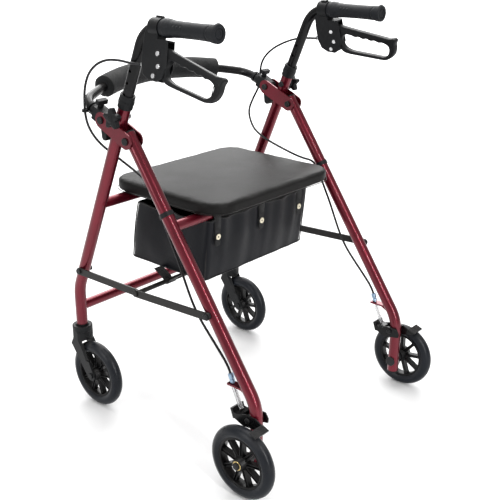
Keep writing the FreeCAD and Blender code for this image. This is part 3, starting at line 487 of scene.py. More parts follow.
def turned(name, centre, direction, profile, material, count=48):
    """A turned piece: profile is (distance along the axis, radius) pairs, ends closed."""
    direction = Vector(direction).normalized()
    across = direction.orthogonal().normalized()
    up = direction.cross(across)
    rings = [circle(centre + direction * along, across, up, max(radius, 1e-5), count)
             for along, radius in profile]
    return loft(name, rings, material)


def frames_along(points):
    """Across and up directions that turn smoothly along a path."""
    across = None
    result = []
    for before, after in zip([points[0]] + points[:-1], points[1:] + [points[-1]]):
        ahead = (after - before).normalized()
        across = ahead.orthogonal() if across is None else across - ahead * across.dot(ahead)
        across = across.normalized()
        result.append((across, ahead.cross(across)))
    return result


def tube(name, points, radius, material, count=12, turns=None):
    turns = turns or frames_along(points)
    rings = [circle(point, across, up, radius, count)
             for point, (across, up) in zip(points, turns)]
    return loft(name, rings, material)


def smooth_route(points, order=3, resolution=10):
    """Points read from the NURBS spline of a route, as the evaluated curve gives them."""
    curve = bpy.data.curves.new("route", "CURVE")
    curve.dimensions = "3D"
    spline = curve.splines.new("NURBS")
    spline.points.add(len(points) - 1)
    for slot, point in zip(spline.points, points):
        slot.co = (*point, 1.0)
    spline.order_u = order
    spline.use_endpoint_u = True
    spline.resolution_u = resolution
    holder = bpy.data.objects.new("route", curve)
    bpy.context.collection.objects.link(holder)
    bpy.context.view_layer.update()
    mesh = bpy.data.meshes.new_from_object(holder)
    read = [vertex.co.copy() for vertex in mesh.vertices]
    bpy.data.objects.remove(holder)
    bpy.data.meshes.remove(mesh)
    return read


def corner_cut(points, radius, steps=5):
    """A closed outline with each corner rounded; a point may carry its own radius."""
    result = []
    count = len(points)
    for index, point in enumerate(points):
        here = Vector(point[:2])
        before = Vector(points[index - 1][:2])
        after = Vector(points[(index + 1) % count][:2])
        size = point[2] if len(point) > 2 else radius
        reach = min(size, 0.48 * (before - here).length, 0.48 * (after - here).length)
        start = here + (before - here).normalized() * reach
        end = here + (after - here).normalized() * reach
        for step in range(steps + 1):
            t = step / steps
            result.append(start * (1 - t) ** 2 + here * (2 * t * (1 - t)) + end * t ** 2)
    return result


def rounded_plate(name, outlines, low, high, edge, material, lay):
    """A plate with softly rounded edges, from closed outlines; inner ones are holes.

    The outlines are (y, z) in metres, the plate runs from x = low to high, and lay places it.
    """
    curve = bpy.data.curves.new(name, "CURVE")
    curve.dimensions = "2D"
    curve.fill_mode = "BOTH"
    curve.extrude = (high - low) / 2 - edge
    curve.bevel_depth = edge
    curve.bevel_resolution = 3
    curve.offset = -edge
    for outline in outlines:
        spline = curve.splines.new("POLY")
        spline.points.add(len(outline) - 1)
        for slot, point in zip(spline.points, outline):
            slot.co = (point[0], point[1], 0.0, 1.0)
        spline.use_cyclic_u = True
    holder = bpy.data.objects.new(name + "_outline", curve)
    bpy.context.collection.objects.link(holder)
    bpy.context.view_layer.update()
    mesh = bpy.data.meshes.new_from_object(holder)
    bpy.data.objects.remove(holder)
    turn = Matrix(((0, 0, 1, (low + high) / 2), (1, 0, 0, 0), (0, 1, 0, 0), (0, 0, 0, 1)))
    mesh.transform(lay @ turn)
    thing = bpy.data.objects.new(name, mesh)
    bpy.context.collection.objects.link(thing)
    mesh.materials.clear()
    mesh.materials.append(material)
    outward(thing)
    shade_by_angle(thing)
    return thing


def shade_by_angle(thing, degrees=35.0):
    """Smooth shading with its sharper edges kept sharp."""
    mesh = thing.data
    work = bmesh.new()
    work.from_mesh(mesh)
    limit = math.radians(degrees)
    for edge in work.edges:
        edge.smooth = len(edge.link_faces) == 2 and edge.calc_face_angle(0.0) < limit
    for face in work.faces:
        face.smooth = True
    work.to_mesh(mesh)
    work.free()


def mirror_x(thing):
    """Mirrors a right-hand piece to the left and turns its faces outwards again."""
    thing.data.transform(Matrix.Scale(-1, 4, (1, 0, 0)))
    thing.data.flip_normals()
    return thing


def join(pieces, name):
    """Joins pieces into the first one, keeping each one's material."""
    bpy.ops.object.select_all(action="DESELECT")
    for piece in pieces:
        piece.select_set(True)
    bpy.context.view_layer.objects.active = pieces[0]
    bpy.ops.object.join()
    pieces[0].name = name
    return pieces[0]


def apply_modifiers(thing):
    """Bakes every modifier into the mesh."""
    bpy.context.view_layer.update()
    graph = bpy.context.evaluated_depsgraph_get()
    mesh = bpy.data.meshes.new_from_object(thing.evaluated_get(graph))
    thing.modifiers.clear()
    thing.data = mesh
    return thing


def lay_uv(thing, project):
    """Gives a mesh a UV map in metres from a function of each point and face normal."""
    layer = thing.data.uv_layers.new(name="Weave")
    for face in thing.data.polygons:
        for corner in face.loop_indices:
            point = thing.data.vertices[thing.data.loops[corner].vertex_index].co
            layer.data[corner].uv = project(point, face.normal)


def box_uv(point, normal):
    """Drops the axis that the face looks along."""
    if abs(normal.x) > max(abs(normal.y), abs(normal.z)):
        return (point.y, point.z)
    if abs(normal.y) > abs(normal.z):
        return (point.x, point.z)
    return (point.x, point.y)


# ---------------------------------------------------------------- geometry nodes

def geometry_tree(name, inputs):
    tree = bpy.data.node_groups.new(name, "GeometryNodeTree")
    tree.interface.new_socket("Geometry", in_out="INPUT", socket_type="NodeSocketGeometry")
    for label, kind, default in inputs:
        socket = tree.interface.new_socket(label, in_out="INPUT", socket_type=kind)
        if default is not None:
            socket.default_value = default
    tree.interface.new_socket("Geometry", in_out="OUTPUT", socket_type="NodeSocketGeometry")
    return tree


def run_tree(thing, tree, values):
    """Runs a node tree on an object with named values and keeps the result as its mesh."""
    modifier = thing.modifiers.new(tree.name, "NODES")
    modifier.node_group = tree
    for item in tree.interface.items_tree:
        if item.item_type == "SOCKET" and item.in_out == "INPUT" and item.name in values:
            modifier[item.identifier] = values[item.name]
    return apply_modifiers(thing)


def ring_of_spokes_tree():
    """Copies the incoming spoke round the X axis."""
    if "Ring of spokes" in bpy.data.node_groups:
        return bpy.data.node_groups["Ring of spokes"]
    group = geometry_tree("Ring of spokes", [("Count", "NodeSocketInt", 9),
                                             ("Centre", "NodeSocketVector", None),
                                             ("Finish", "NodeSocketMaterial", None)])
    tree = Tree(group)
    entry = tree.add("NodeGroupInput").outputs
    dots = tree.add("GeometryNodePoints", {"Count": entry["Count"], "Position": entry["Centre"]})
    number = tree.add("GeometryNodeInputIndex").outputs[0]
    share = tree.math("DIVIDE", math.tau, entry["Count"])
    angle = tree.math("MULTIPLY", number, share)
    turn = tree.add("ShaderNodeCombineXYZ", {"X": angle})
    rotation = tree.add("FunctionNodeEulerToRotation", {0: turn.outputs[0]})
    copies = tree.add("GeometryNodeInstanceOnPoints", {"Points": dots.outputs[0],
                                                       "Instance": entry["Geometry"],
                                                       "Rotation": rotation.outputs[0]})
    real = tree.add("GeometryNodeRealizeInstances", {0: copies.outputs[0]})
    painted = tree.add("GeometryNodeSetMaterial", {"Geometry": real.outputs[0],
                                                   "Material": entry["Finish"]})
    leave = tree.add("NodeGroupOutput")
    group.links.new(painted.outputs[0], leave.inputs[0])
    return group


def stitches_tree():
    """Lays small thread capsules along the incoming edges at an even pitch."""
    if "Stitches" in bpy.data.node_groups:
        return bpy.data.node_groups["Stitches"]
    group = geometry_tree("Stitches", [("Pitch", "NodeSocketFloat", 0.0032),
                                       ("Thickness", "NodeSocketFloat", 0.00035),
                                       ("Finish", "NodeSocketMaterial", None)])
    tree = Tree(group)
    entry = tree.add("NodeGroupInput").outputs
    line = tree.add("GeometryNodeMeshToCurve", {0: entry["Geometry"]})
    dots = tree.add("GeometryNodeCurveToPoints", {"Curve": line.outputs[0],
                                                  "Length": entry["Pitch"]}, mode="LENGTH")
    thread = tree.add("GeometryNodeMeshUVSphere", {"Segments": 6, "Rings": 4,
                                                   "Radius": entry["Thickness"]})
    longer = tree.math("DIVIDE", tree.math("MULTIPLY", entry["Pitch"], 0.36), entry["Thickness"])
    size = tree.add("ShaderNodeCombineXYZ", {"X": 1.0, "Y": 1.0, "Z": longer})
    copies = tree.add("GeometryNodeInstanceOnPoints", {"Points": dots.outputs["Points"],
                                                       "Instance": thread.outputs[0],
                                                       "Rotation": dots.outputs["Rotation"],
                                                       "Scale": size.outputs[0]})
    real = tree.add("GeometryNodeRealizeInstances", {0: copies.outputs[0]})
    painted = tree.add("GeometryNodeSetMaterial", {"Geometry": real.outputs[0],
                                                   "Material": entry["Finish"]})
    leave = tree.add("NodeGroupOutput")
    group.links.new(painted.outputs[0], leave.inputs[0])
    return group


def coil_tree():
    """A round wire wound into a close coil along Z."""
    if "Wire coil" in bpy.data.node_groups:
        return bpy.data.node_groups["Wire coil"]
    group = geometry_tree("Wire coil", [("Turns", "NodeSocketFloat", 16.0),
                                        ("Radius", "NodeSocketFloat", 0.0045),
                                        ("Height", "NodeSocketFloat", 0.04),
                                        ("Wire", "NodeSocketFloat", 0.0013),
                                        ("Finish", "NodeSocketMaterial", None)])
    tree = Tree(group)
    entry = tree.add("NodeGroupInput").outputs
    coil = tree.add("GeometryNodeCurveSpiral", {"Resolution": 18, "Rotations": entry["Turns"],
                                                "Start Radius": entry["Radius"],
                                                "End Radius": entry["Radius"],
                                                "Height": entry["Height"]})
    section = tree.add("GeometryNodeCurvePrimitiveCircle",
                       {"Resolution": 8, "Radius": tree.math("MULTIPLY", entry["Wire"], 0.5)})
    wire = tree.add("GeometryNodeCurveToMesh", {"Curve": coil.outputs[0],
                                                "Profile Curve": section.outputs[0],
                                                "Fill Caps": True})
    real = tree.add("GeometryNodeRealizeInstances", {0: wire.outputs[0]})
    painted = tree.add("GeometryNodeSetMaterial", {"Geometry": real.outputs[0],
                                                   "Material": entry["Finish"]})
    leave = tree.add("NodeGroupOutput")
    group.links.new(painted.outputs[0], leave.inputs[0])
    return group


def stitch_line(name, points, body, finish_of_thread):
    """A row of stitches along a line of points."""
    line = mesh_object(name, points, [], finish_of_thread)
    line.data.clear_geometry()
    line.data.from_pydata([tuple(point) for point in points],
                          [(step, step + 1) for step in range(len(points) - 1)], [])
    run_tree(line, stitches_tree(), {"Pitch": sizes().stitch_pitch, "Finish": finish_of_thread})
    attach(line, body)
    return line


# ---------------------------------------------------------------- stage

def light(name, spot, target, width, height, power, tint=(1.0, 1.0, 1.0)):
    data = bpy.data.lights.new(name, "AREA")
    data.shape = "RECTANGLE"
    data.size = width
    data.size_y = height
    data.energy = power
    data.color = tint
    lamp = bpy.data.objects.new(name, data)
    lamp.location = spot
    lamp.rotation_euler = (Vector(target) - Vector(spot)).to_track_quat("-Z", "Y").to_euler()
    bpy.context.collection.objects.link(lamp)
    return lamp


def build_camera():
    """The camera, from its place, turn, tilt and roll."""
    yaw, pitch, roll = (math.radians(angle) for angle in (-49.555, 21.155, 0.538))
    back = Vector((math.sin(yaw) * math.cos(pitch), -math.cos(yaw) * math.cos(pitch),
                   math.sin(pitch)))
    right = (-back).cross(Vector((0, 0, 1))).normalized()
    up = right.cross(-back)
    across = right * math.cos(roll) + up * math.sin(roll)
    upright = up * math.cos(roll) - right * math.sin(roll)
    data = bpy.data.cameras.new("Camera")
    data.lens = 60.2
    data.sensor_width = 36.0
    camera = bpy.data.objects.new("Camera", data)
    turn = Matrix((across, upright, back)).transposed().to_4x4()
    camera.matrix_world = Matrix.Translation((-1.30258, -1.11183, 1.02677)) @ turn
    bpy.context.collection.objects.link(camera)
    bpy.context.scene.camera = camera


def build_floor():
    material = coating("Pale floor", (0.86, 0.86, 0.86), 0.7, 0.0, (40.0, 0.2, 0.03, 0.0005),
                       None, 0.0, 0.01, 0.03)
    half = 25.0
    floor = mesh_object("studio_floor", [(-half, -half, 0), (half, -half, 0), (half, half, 0),
                                         (-half, half, 0)], [(0, 1, 2, 3)], material, False)


def build_lights():
    world = bpy.data.worlds.new("Studio")
    world.use_nodes = True
    background = world.node_tree.nodes["Background"]
    background.inputs[0].default_value = (1.0, 1.0, 1.0, 1.0)
    background.inputs[1].default_value = 0.6
    bpy.context.scene.world = world
    bpy.context.scene.view_settings.view_transform = "Standard"
    light("overhead_softbox", (0.2, 0.3, 2.6), (0.0, 0.0, 0.5), 2.2, 2.2, 52.0)
    light("backdrop_softbox", (5.6, 5.0, 4.2), (5.0, 4.4, 0.0), 7.0, 7.0, 800.0)
    light("tall_strip", (-0.75, -2.1, 1.3), (0.0, 0.0, 0.5), 0.07, 2.1, 30.0)
    light("side_softbox", (-2.6, 0.6, 1.4), (0.0, 0.0, 0.5), 0.7, 1.6, 18.0)


# ---------------------------------------------------------------- frame finishes

FINISHES = (
    (("front_leg_", "rear_leg_", "front_seat_tube", "rear_seat_tube", "lower_cross_tube",
      "bracket_plates", "cable_stops"), red_paint),
    (("handle_tube_", "backrest_tube", "brake_arm_"), black_tube),
    (("front_struts", "rear_struts", "cross_rod"), strut_paint),
    (("leg_collars", "leg_plugs", "cable_clips", "backrest_sockets", "cable_rings", "lock_knob_",
      "seat_hinge_clips", "brake_housing_", "caster_fork_"), moulding),
    (("frame_bolts", "rear_axle_bolts", "strut_end_bolts"), black_bolt),
    (("housing_rivets_",), bright_steel),
    (("barrel_adjusters",), plated),
    (("seat_board",), board_moulding),
)


def paint_node(node, material):
    thing = frame["nodes"][node]
    if not thing.material_slots:
        thing.data.materials.append(material)
    for held in thing.material_slots:
        held.material = material


def build_frame_finishes():
    for prefixes, make in FINISHES:
        for node in frame["nodes"]:
            if node.startswith(prefixes):
                paint_node(node, make())


# ---------------------------------------------------------------- seat

def rounded_rectangle(half_x, half_y, radius, middle_y, z, sides=(24, 20), corner=8):
    """Points round a rectangle with round corners, the same number for every size."""
    radius = min(radius, half_x * 0.98, half_y * 0.98)
    spots = []
    straight = (2 * (half_x - radius), 2 * (half_y - radius))
    starts = ((half_x - radius, -half_y + radius, -90, (0, 1)),
              (half_x - radius, half_y - radius, 0, (-1, 0)),
              (-half_x + radius, half_y - radius, 90, (0, -1)),
              (-half_x + radius, -half_y + radius, 180, (1, 0)))
    for index, (x, y, begin, way) in enumerate(starts):
        for step in range(corner):
            angle = math.radians(begin + 90 * step / corner)
            spots.append((x + radius * math.cos(angle), y + radius * math.sin(angle)))
        end = math.radians(begin + 90)
        x, y = x + radius * math.cos(end), y + radius * math.sin(end)
        run = straight[1] if index % 2 == 0 else straight[0]
        count = sides[1] if index % 2 == 0 else sides[0]
        for step in range(count):
            share = run * step / count
            spots.append((x + way[0] * share, y + way[1] * share))
    return [Vector((x, middle_y + y, z)) for x, y in spots]


def cushion_ring(inset, z):
    low, high = CUSHION_BOX
    return rounded_rectangle((high.x - low.x) / 2 - inset, (high.y - low.y) / 2 - inset,
                             max(CUSHION_CORNER - inset, 0.004), (high.y + low.y) / 2, z)


def puff(thing, voxel, swell):
    """Remeshes a closed form and swells it as cloth under pressure, by at most swell."""
    remesh = thing.modifiers.new("even", "REMESH")
    remesh.mode = "VOXEL"
    remesh.voxel_size = voxel
    apply_modifiers(thing)
    rest = [vertex.co.copy() for vertex in thing.data.vertices]
    cloth = thing.modifiers.new("swelling", "CLOTH")
    cloth.settings.use_pressure = True
    cloth.settings.uniform_pressure_force = 4.0
    cloth.settings.effector_weights.gravity = 0.0
    scene = bpy.context.scene
    for step in range(1, 21):
        scene.frame_set(step)
    apply_modifiers(thing)
    scene.frame_set(1)
    for vertex, start in zip(thing.data.vertices, rest):
        move = vertex.co - start
        if move.length > swell:
            vertex.co = start + move * (swell / move.length)
    return thing


def cushion_inset(point):
    """How far a point lies inside the cushion's outline."""
    low, high = CUSHION_BOX
    half, middle, corner = (high - low) / 2, (high + low) / 2, CUSHION_CORNER
    x = half.x - abs(point.x - middle.x)
    y = half.y - abs(point.y - middle.y)
    if x < corner and y < corner:
        return corner - math.hypot(corner - x, corner - y)
    return min(x, y)


def shape_cushion(pad):
    """Crowns the top, gathers the corners and keeps the underside clear of the board."""
    low, high = CUSHION_BOX
    half, middle = (high - low) / 2, (high + low) / 2
    board_top = low.z + 0.0050
    for vertex in pad.data.vertices:
        point = vertex.co
        x = max(-1.0, min(1.0, (point.x - middle.x) / half.x))
        y = max(-1.0, min(1.0, (point.y - middle.y) / half.y))
        rise = max(0.0, (point.z - low.z) / (high.z - low.z))
        crown = (1 - x ** 4) * (1 - y ** 4)
        point.z += sizes().crown * rise * (crown - 0.3)
        corner = max(0.0, abs(x) - 0.74) / 0.26 * max(0.0, abs(y) - 0.68) / 0.32
        turn = math.atan2(abs(point.y - middle.y) - half.y + CUSHION_CORNER,
                          abs(point.x - middle.x) - half.x + CUSHION_CORNER)
        gather = corner * rise * math.sin(turn * 14.0 + point.z * 160)
        point.z += 0.0010 * gather
        point.x += math.copysign(0.0008 * gather, x)
        point.y += math.copysign(0.0008 * gather, y)
        soft = noise.noise(Vector((point.x * 24, point.y * 24, 0.4)))
        point.z += 0.0006 * rise * soft
        if cushion_inset(point) > 0.0116 and rise < 0.4:
            point.z = max(point.z, board_top)
        point.z = max(point.z, low.z - 0.0012)
        point.x = max(low.x, min(high.x, point.x))
        point.y = max(low.y, min(high.y, point.y))


def build_seat():
    """The padded seat, its cover turned down round the board."""
    low = CUSHION_BOX[0]
    profile = ((0.0114, 0.0052), (0.0112, -0.0006), (0.0035, -0.0010), (0.0012, 0.0008),
               (0.0003, 0.0040), (0.0002, 0.0184), (0.0010, 0.0214), (0.0032, 0.0234),
               (0.0090, 0.0240))
    pad = loft("seat_pad", [cushion_ring(inset, low.z + rise) for inset, rise in profile],
               seat_vinyl())
    puff(pad, sizes().cushion_voxel, sizes().cushion_swell)
    shape_cushion(pad)
    for face in pad.data.polygons:
        face.use_smooth = True
    finer = pad.modifiers.new("finer", "SUBSURF")
    finer.levels = finer.render_levels = 1
    apply_modifiers(pad)
    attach(pad, "seat")
    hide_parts("seat_cushion")
    line = piping_round("seat_seam", cushion_ring(0.0002, low.z + 0.0022), sizes().seam_radius,
                        seat_vinyl())
    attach(line, "seat")


def piping_round(name, points, radius, material, count=8):
    """A closed run of piping through a level or nearly level loop of points."""
    rings = []
    total = len(points)
    for step, point in enumerate(points):
        ahead = (points[(step + 1) % total] - points[step - 1]).normalized()
        across = ahead.cross(Vector((0, 0, 1))).normalized()
        rings.append(circle(point, across, ahead.cross(across), radius, count))
    return loft(name, rings + rings[:1], material, caps=False)


# ---------------------------------------------------------------- bag

TAB_X = (-0.137, 0.0, 0.130)
BAG_FLOOR = BAG_BOX[0].z
BAG_TOP_REAR = place(0, 204.8, 479)
BAG_TOP_FRONT = place(0, 413, 480)
BAG_LOW_REAR = place(0, 219, 346)
BAG_LOW_FRONT = place(0, 438, 346)
SNAP_Z = 0.441


def mix(first, second, share):
    return first + (second - first) * share


def bell(value, width):
    return math.exp(-(value / width) ** 2)


def bag_point(spot, level):
    """A point of the bag's cloth: spot is on the level outline, level is 0 low to 1 at the rim."""
    x, y, on_rear = spot
    half_x = BAG_BOX[1].x - 0.003
    rear = mix(BAG_LOW_REAR.y, BAG_TOP_REAR.y, level)
    front = mix(BAG_LOW_FRONT.y, BAG_TOP_FRONT.y, level)
    middle, half_y = (rear + front) / 2, (front - rear) / 2
    point = Vector((x * half_x, middle + y * half_y, 0))
    forward = (y + 1) / 2
    top = mix(BAG_TOP_REAR.z, BAG_TOP_FRONT.z - 0.004, forward)
    near_tab = max(bell(point.x - tab, 0.024) for tab in TAB_X)
    ends = bell(abs(x) - 1.0, 0.10)
    sag_rear = sizes().bag_sag * (1 - max(near_tab, 0.75 * ends))
    sag_side = 0.5 * sizes().bag_sag * (1 - (2 * forward - 1) ** 2)
    top -= mix(sag_side, sag_rear, on_rear)
    top += 0.0018 * math.sin(forward * 17.0 + x) * (1 - on_rear)
    point.z = mix(BAG_FLOOR, top, level)
    out = Vector((x ** 9, y ** 9, 0))
    out = out.normalized() if out.length > 1e-6 else Vector((0, -1, 0))
    belly = 0.0045 * math.sin(math.pi * min(1.0, level * 1.05)) * (1 - (abs(x * y)) ** 6)
    fold = 0.0
    for tab in TAB_X:
        away = point.x - tab
        fold += 1.1 * math.cos(away * 150.0 + 2.6) * math.exp(-abs(away) / 0.030) * on_rear
    fold += 1.9 * noise.noise(Vector((point.x * 24, point.z * 5, 7.0))) * on_rear
    fold += 2.4 * noise.noise(Vector((point.y * 24, point.z * 5, 3.0 + x))) * (1 - on_rear)
    fold *= sizes().bag_fold * (0.25 + 0.75 * level ** 1.6)
    rumple = noise.noise(Vector((point.x * 11, point.y * 11, point.z * 8)))
    rumple += 0.5 * noise.noise(Vector((point.x * 27, point.y * 27, point.z * 16 + 5)))
    held = sum(bell(point.x - tab, 0.013) * bell(point.z - SNAP_Z, 0.020) for tab in TAB_X)
    near_snap = on_rear * max(bell(point.x - tab, 0.011) for tab in TAB_X)
    fold *= 1 - 0.8 * near_snap
    push = belly + fold + 0.0024 * rumple * math.sin(math.pi * (0.08 + 0.84 * level))
    push -= 0.0012 * held * on_rear
    return point + out * push


def bag_outline():
    """Spots round the bag as shares of its half widths, and how far each is on the rear."""
    spots = []
    for point in rounded_rectangle(1.0, 1.0, 0.09, 0.0, 0.0, (64, 44), 8):
        on_rear = max(0.0, min(1.0, (-point.y - 0.86) / 0.1))
        spots.append((point.x, point.y, on_rear))
    return spots


def build_bag_shell():
    outline = bag_outline()
    rings = []
    for share in (0.02, 0.25, 0.5, 0.75, 0.92, 0.985):
        ring = []
        for spot in outline:
            edge = bag_point(spot, 0.0)
            centre = Vector((0, (BAG_LOW_REAR.y + BAG_LOW_FRONT.y) / 2, BAG_FLOOR))
            point = mix(centre, edge, share)
            ripple = noise.noise(Vector((point.x * 18, point.y * 18, 3.0)))
            point.z = BAG_FLOOR + 0.002 - 0.0035 * (1 - share ** 2) + 0.001 * ripple
            ring.append(point)
        rings.append(ring)
    for level in [0.0] + [0.5 * (1 - math.cos(math.pi * step / 26)) for step in range(1, 27)]:
        rings.append([bag_point(spot, level) for spot in outline])
    rings[6] = [point + Vector((0, 0, 0.001)) for point in rings[6]]
    shell = loft("bag_shell", rings, nylon(), caps=False)
    work = bmesh.new()
    work.from_mesh(shell.data)
    bmesh.ops.holes_fill(work, edges=[edge for edge in work.edges
                                      if edge.is_boundary
                                      and edge.verts[0].co.z < BAG_FLOOR + 0.02], sides=0)
    bmesh.ops.recalc_face_normals(work, faces=work.faces)
    work.to_mesh(shell.data)
    work.free()
    for face in shell.data.polygons:
        face.use_smooth = True
    wall = shell.modifiers.new("cloth", "SOLIDIFY")
    wall.thickness = 0.0011
    wall.offset = -1.0
    apply_modifiers(shell)
    lay_uv(shell, box_uv)
    return shell, rings[-1], rings[6]


def bag_seams(rim, foot):
    """The bound rim, the piped foot and the corner seams."""
    hem = piping_round("bag_rim_binding", rim, 0.0017, webbing())
    base = piping_round("bag_foot_piping", foot, 0.0014, webbing())
    seams = [hem, base]
    for number, (x, y) in enumerate(((0.985, -0.985), (0.985, 0.985), (-0.985, 0.985),
                                     (-0.985, -0.985))):
        line = [bag_point((x, y, 0.0), level / 20) for level in range(21)]
        seams.append(tube("bag_corner_seam_%d" % number, line, 0.0012, webbing(), 8))
    return seams


def build_bag():
    shell, rim, foot = build_bag_shell()
    seams = bag_seams(rim, foot)
    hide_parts("seat_bag")
    for piece in [shell] + seams:
        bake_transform(piece)


# ---------------------------------------------------------------- tabs, snaps and strap

def strap(name, points, widths, thickness, material):
    """Webbing along a path in an upright plane, its width across X."""
    rings = []
    for step, point in enumerate(points):
        before = points[max(step - 1, 0)]
        after = points[min(step + 1, len(points) - 1)]
        ahead = (after - before).normalized()
        up = Vector((1, 0, 0)).cross(ahead).normalized()
        half = widths[step] / 2
        thin = thickness / 2
        rings.append([point + Vector((x * half, 0, 0)) + up * (z * thin) for x, z in
                      ((-1, -0.5), (-0.97, -1), (0.97, -1), (1, -0.5), (1, 0.5), (0.97, 1),
                       (-0.97, 1), (-1, 0.5))])
    thing = loft(name, rings, material)
    shade_by_angle(thing, 50.0)
    lay_uv(thing, box_uv)
    return thing


def tab_path():
    """From the tab's loose end up behind the bag's rim, over the tube and down inside."""
    centre = place(0, 217, 488)
    out = 0.0135
    path = [place(0, 204.6, z) for z in (421, 426, 431, 436, 441, 447, 454, 461, 468, 475, 482)]
    path = [Vector((0, centre.y - out, point.z)) for point in path]
    for step in range(13):
        angle = math.pi - math.pi * step / 12
        path.append(centre + Vector((0, math.cos(angle), math.sin(angle))) * out)
    path += [Vector((0, centre.y + out, centre.z - drop)) for drop in (0.005, 0.011)]
    return path


def build_tabs():
    path = tab_path()
    tabs = []
    threads = []
    for number, x in enumerate(TAB_X):
        shift = Vector((x, 0, 0))
        widths = []
        for point in path:
            rise = max(0.0, min(1.0, (point.z - 0.441) / 0.047))
            end = max(0.0, min(1.0, (point.z - 0.421) / 0.006)) if point.y < path[12].y else 1.0
            widths.append((0.0155 + 0.0075 * rise ** 1.3) * (0.72 + 0.28 * end))
        tabs.append(strap("tab_%d" % number, [point + shift for point in path], widths, 0.0013,
                          webbing()))
        for side in (-1, 1):
            line = [point + shift + Vector((side * (width / 2 - 0.0018), -0.0009, 0))
                    for point, width in zip(path[:11], widths[:11])]
            threads.append(stitch_line("tab_stitches_%d_%d" % (number, side + 1), line,
                                       "rear_frame", webbing()))
    whole = join(tabs, "bag_tab_webbing")
    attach(whole, "rear_frame")
    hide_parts("bag_tabs")


def build_snaps():
    face = place(0, 217, 0).y - 0.0148
    caps = []
    for number, x in enumerate(TAB_X):
        centre = Vector((x, face + 0.0002, SNAP_Z))
        profile = ((0.0, 0.0060), (0.0006, 0.0064), (0.0014, 0.0062), (0.0019, 0.0052),
                   (0.0020, 0.0036), (0.0013, 0.0026), (0.0011, 0.0019))
        cap = turned("snap_%d" % number, centre, (0, -1, 0), profile, press_stud(), 32)
        eye = turned("snap_eye_%d" % number, centre, (0, -1, 0),
                     ((0.0008, 0.0018), (0.0013, 0.0016), (0.0015, 0.0009)), black_bolt(), 20)
        caps += [cap, eye]
    whole = join(caps, "bag_snap_caps")
    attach(whole, "rear_frame")
    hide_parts("bag_snaps")


def build_pull_strap():
    """Webbing from under the bag's side, down round the cross rod and back up."""
    rod = Vector((-0.173, JOINTS["rear_strut_swing"]["pos_m"][1],
                  JOINTS["rear_strut_swing"]["pos_m"][2]))
    round_rod = 0.0060
    front = Vector((rod.x, rod.y + 0.036, BAG_FLOOR + 0.0012))
    rear = Vector((rod.x, rod.y - 0.032, BAG_FLOOR + 0.0012))
    path = [front]
    for step in range(1, 6):
        path.append(mix(front, rod + Vector((0, round_rod, 0.002)), step / 6))
    for step in range(9):
        angle = -math.pi * step / 8
        path.append(rod + Vector((0, math.cos(angle), math.sin(angle))) * round_rod)
    for step in range(1, 6):
        path.append(mix(rod + Vector((0, -round_rod, 0.002)), rear, step / 6))
    path.append(rear)
    widths = [0.024] * len(path)
    loop = strap("rod_pull_strap", path, widths, 0.0014, webbing())
    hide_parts("pull_strap")
    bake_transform(loop)


# ---------------------------------------------------------------- backrest

BACKREST_PIVOT = Vector(JOINTS["backrest_tilt"]["pos_m"])
BACKREST_TURN = Matrix.Translation(BACKREST_PIVOT) @ Matrix.Rotation(math.radians(22.0), 4, "X")
BOW_R = 0.467
BOW_FRONT = 0.141


def bow_point(angle, radius=BOW_R):
    return Vector((radius * math.sin(angle), BOW_FRONT - BOW_R + radius * math.cos(angle), 0))


def build_foam():
    """The thick foam sleeve, with rounded ends, a lengthwise seam and slight unevenness."""
    half = math.radians(21.5)
    rings = []
    stations = [-1 + 2 * step / 96 for step in range(97)]
    ends = [0.35, 0.62, 0.82, 0.93, 0.985]
    for side, share in [(-1, part) for part in ends] + [(0, station) for station in stations] + [
            (1, part) for part in reversed(ends)]:
        if side:
            angle = side * half
            radius = 0.0095 + (0.0232 - 0.0095) * share
            angle += side * (-0.0095 + 0.0095 * math.sqrt(max(0.0, 1 - share ** 4))) / BOW_R
        else:
            angle = half * share * 0.98
            radius = 0.0238 + sizes().foam_swell * (1 - share ** 2) - 0.0008
        centre = bow_point(angle)
        out = (centre - Vector((0, BOW_FRONT - BOW_R, 0))).normalized()
        ring = []
        for step in range(40):
            turn = math.tau * step / 40
            dent = noise.noise(Vector((angle * 14, math.cos(turn) * 0.8, math.sin(turn) * 0.8)))
            seam = -0.0011 * bell(math.remainder(turn - math.radians(250), math.tau), 0.10)
            size = radius + 0.0005 * dent + seam
            ring.append(centre + out * (size * math.cos(turn))
                        + Vector((0, 0, size * math.sin(turn))))
        rings.append(ring)
    foam = loft("backrest_foam_sleeve", rings, foam_skin())
    foam.data.transform(BACKREST_TURN)
    shade_by_angle(foam, 50.0)
    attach(foam, "backrest")
    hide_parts("backrest_foam")


# ---------------------------------------------------------------- grips and hand brakes

def grip_radius(y):
    """Radius of the grip at y millimetres ahead of the rear axle."""
    stations = ((92.0, 14.6), (93.5, 15.2), (100.0, 15.2), (112.0, 14.9), (126.0, 14.5),
                (145.0, 14.3), (166.0, 14.5), (186.0, 14.8), (198.0, 15.3), (208.0, 16.8),
                (214.0, 17.4), (220.0, 16.9), (226.0, 15.4))
    for (y0, r0), (y1, r1) in zip(stations, stations[1:]):
        if y <= y1:
            share = (y - y0) / (y1 - y0)
            share = share * share * (3 - 2 * share)
            return r0 + (r1 - r0) * share
    return stations[-1][1]


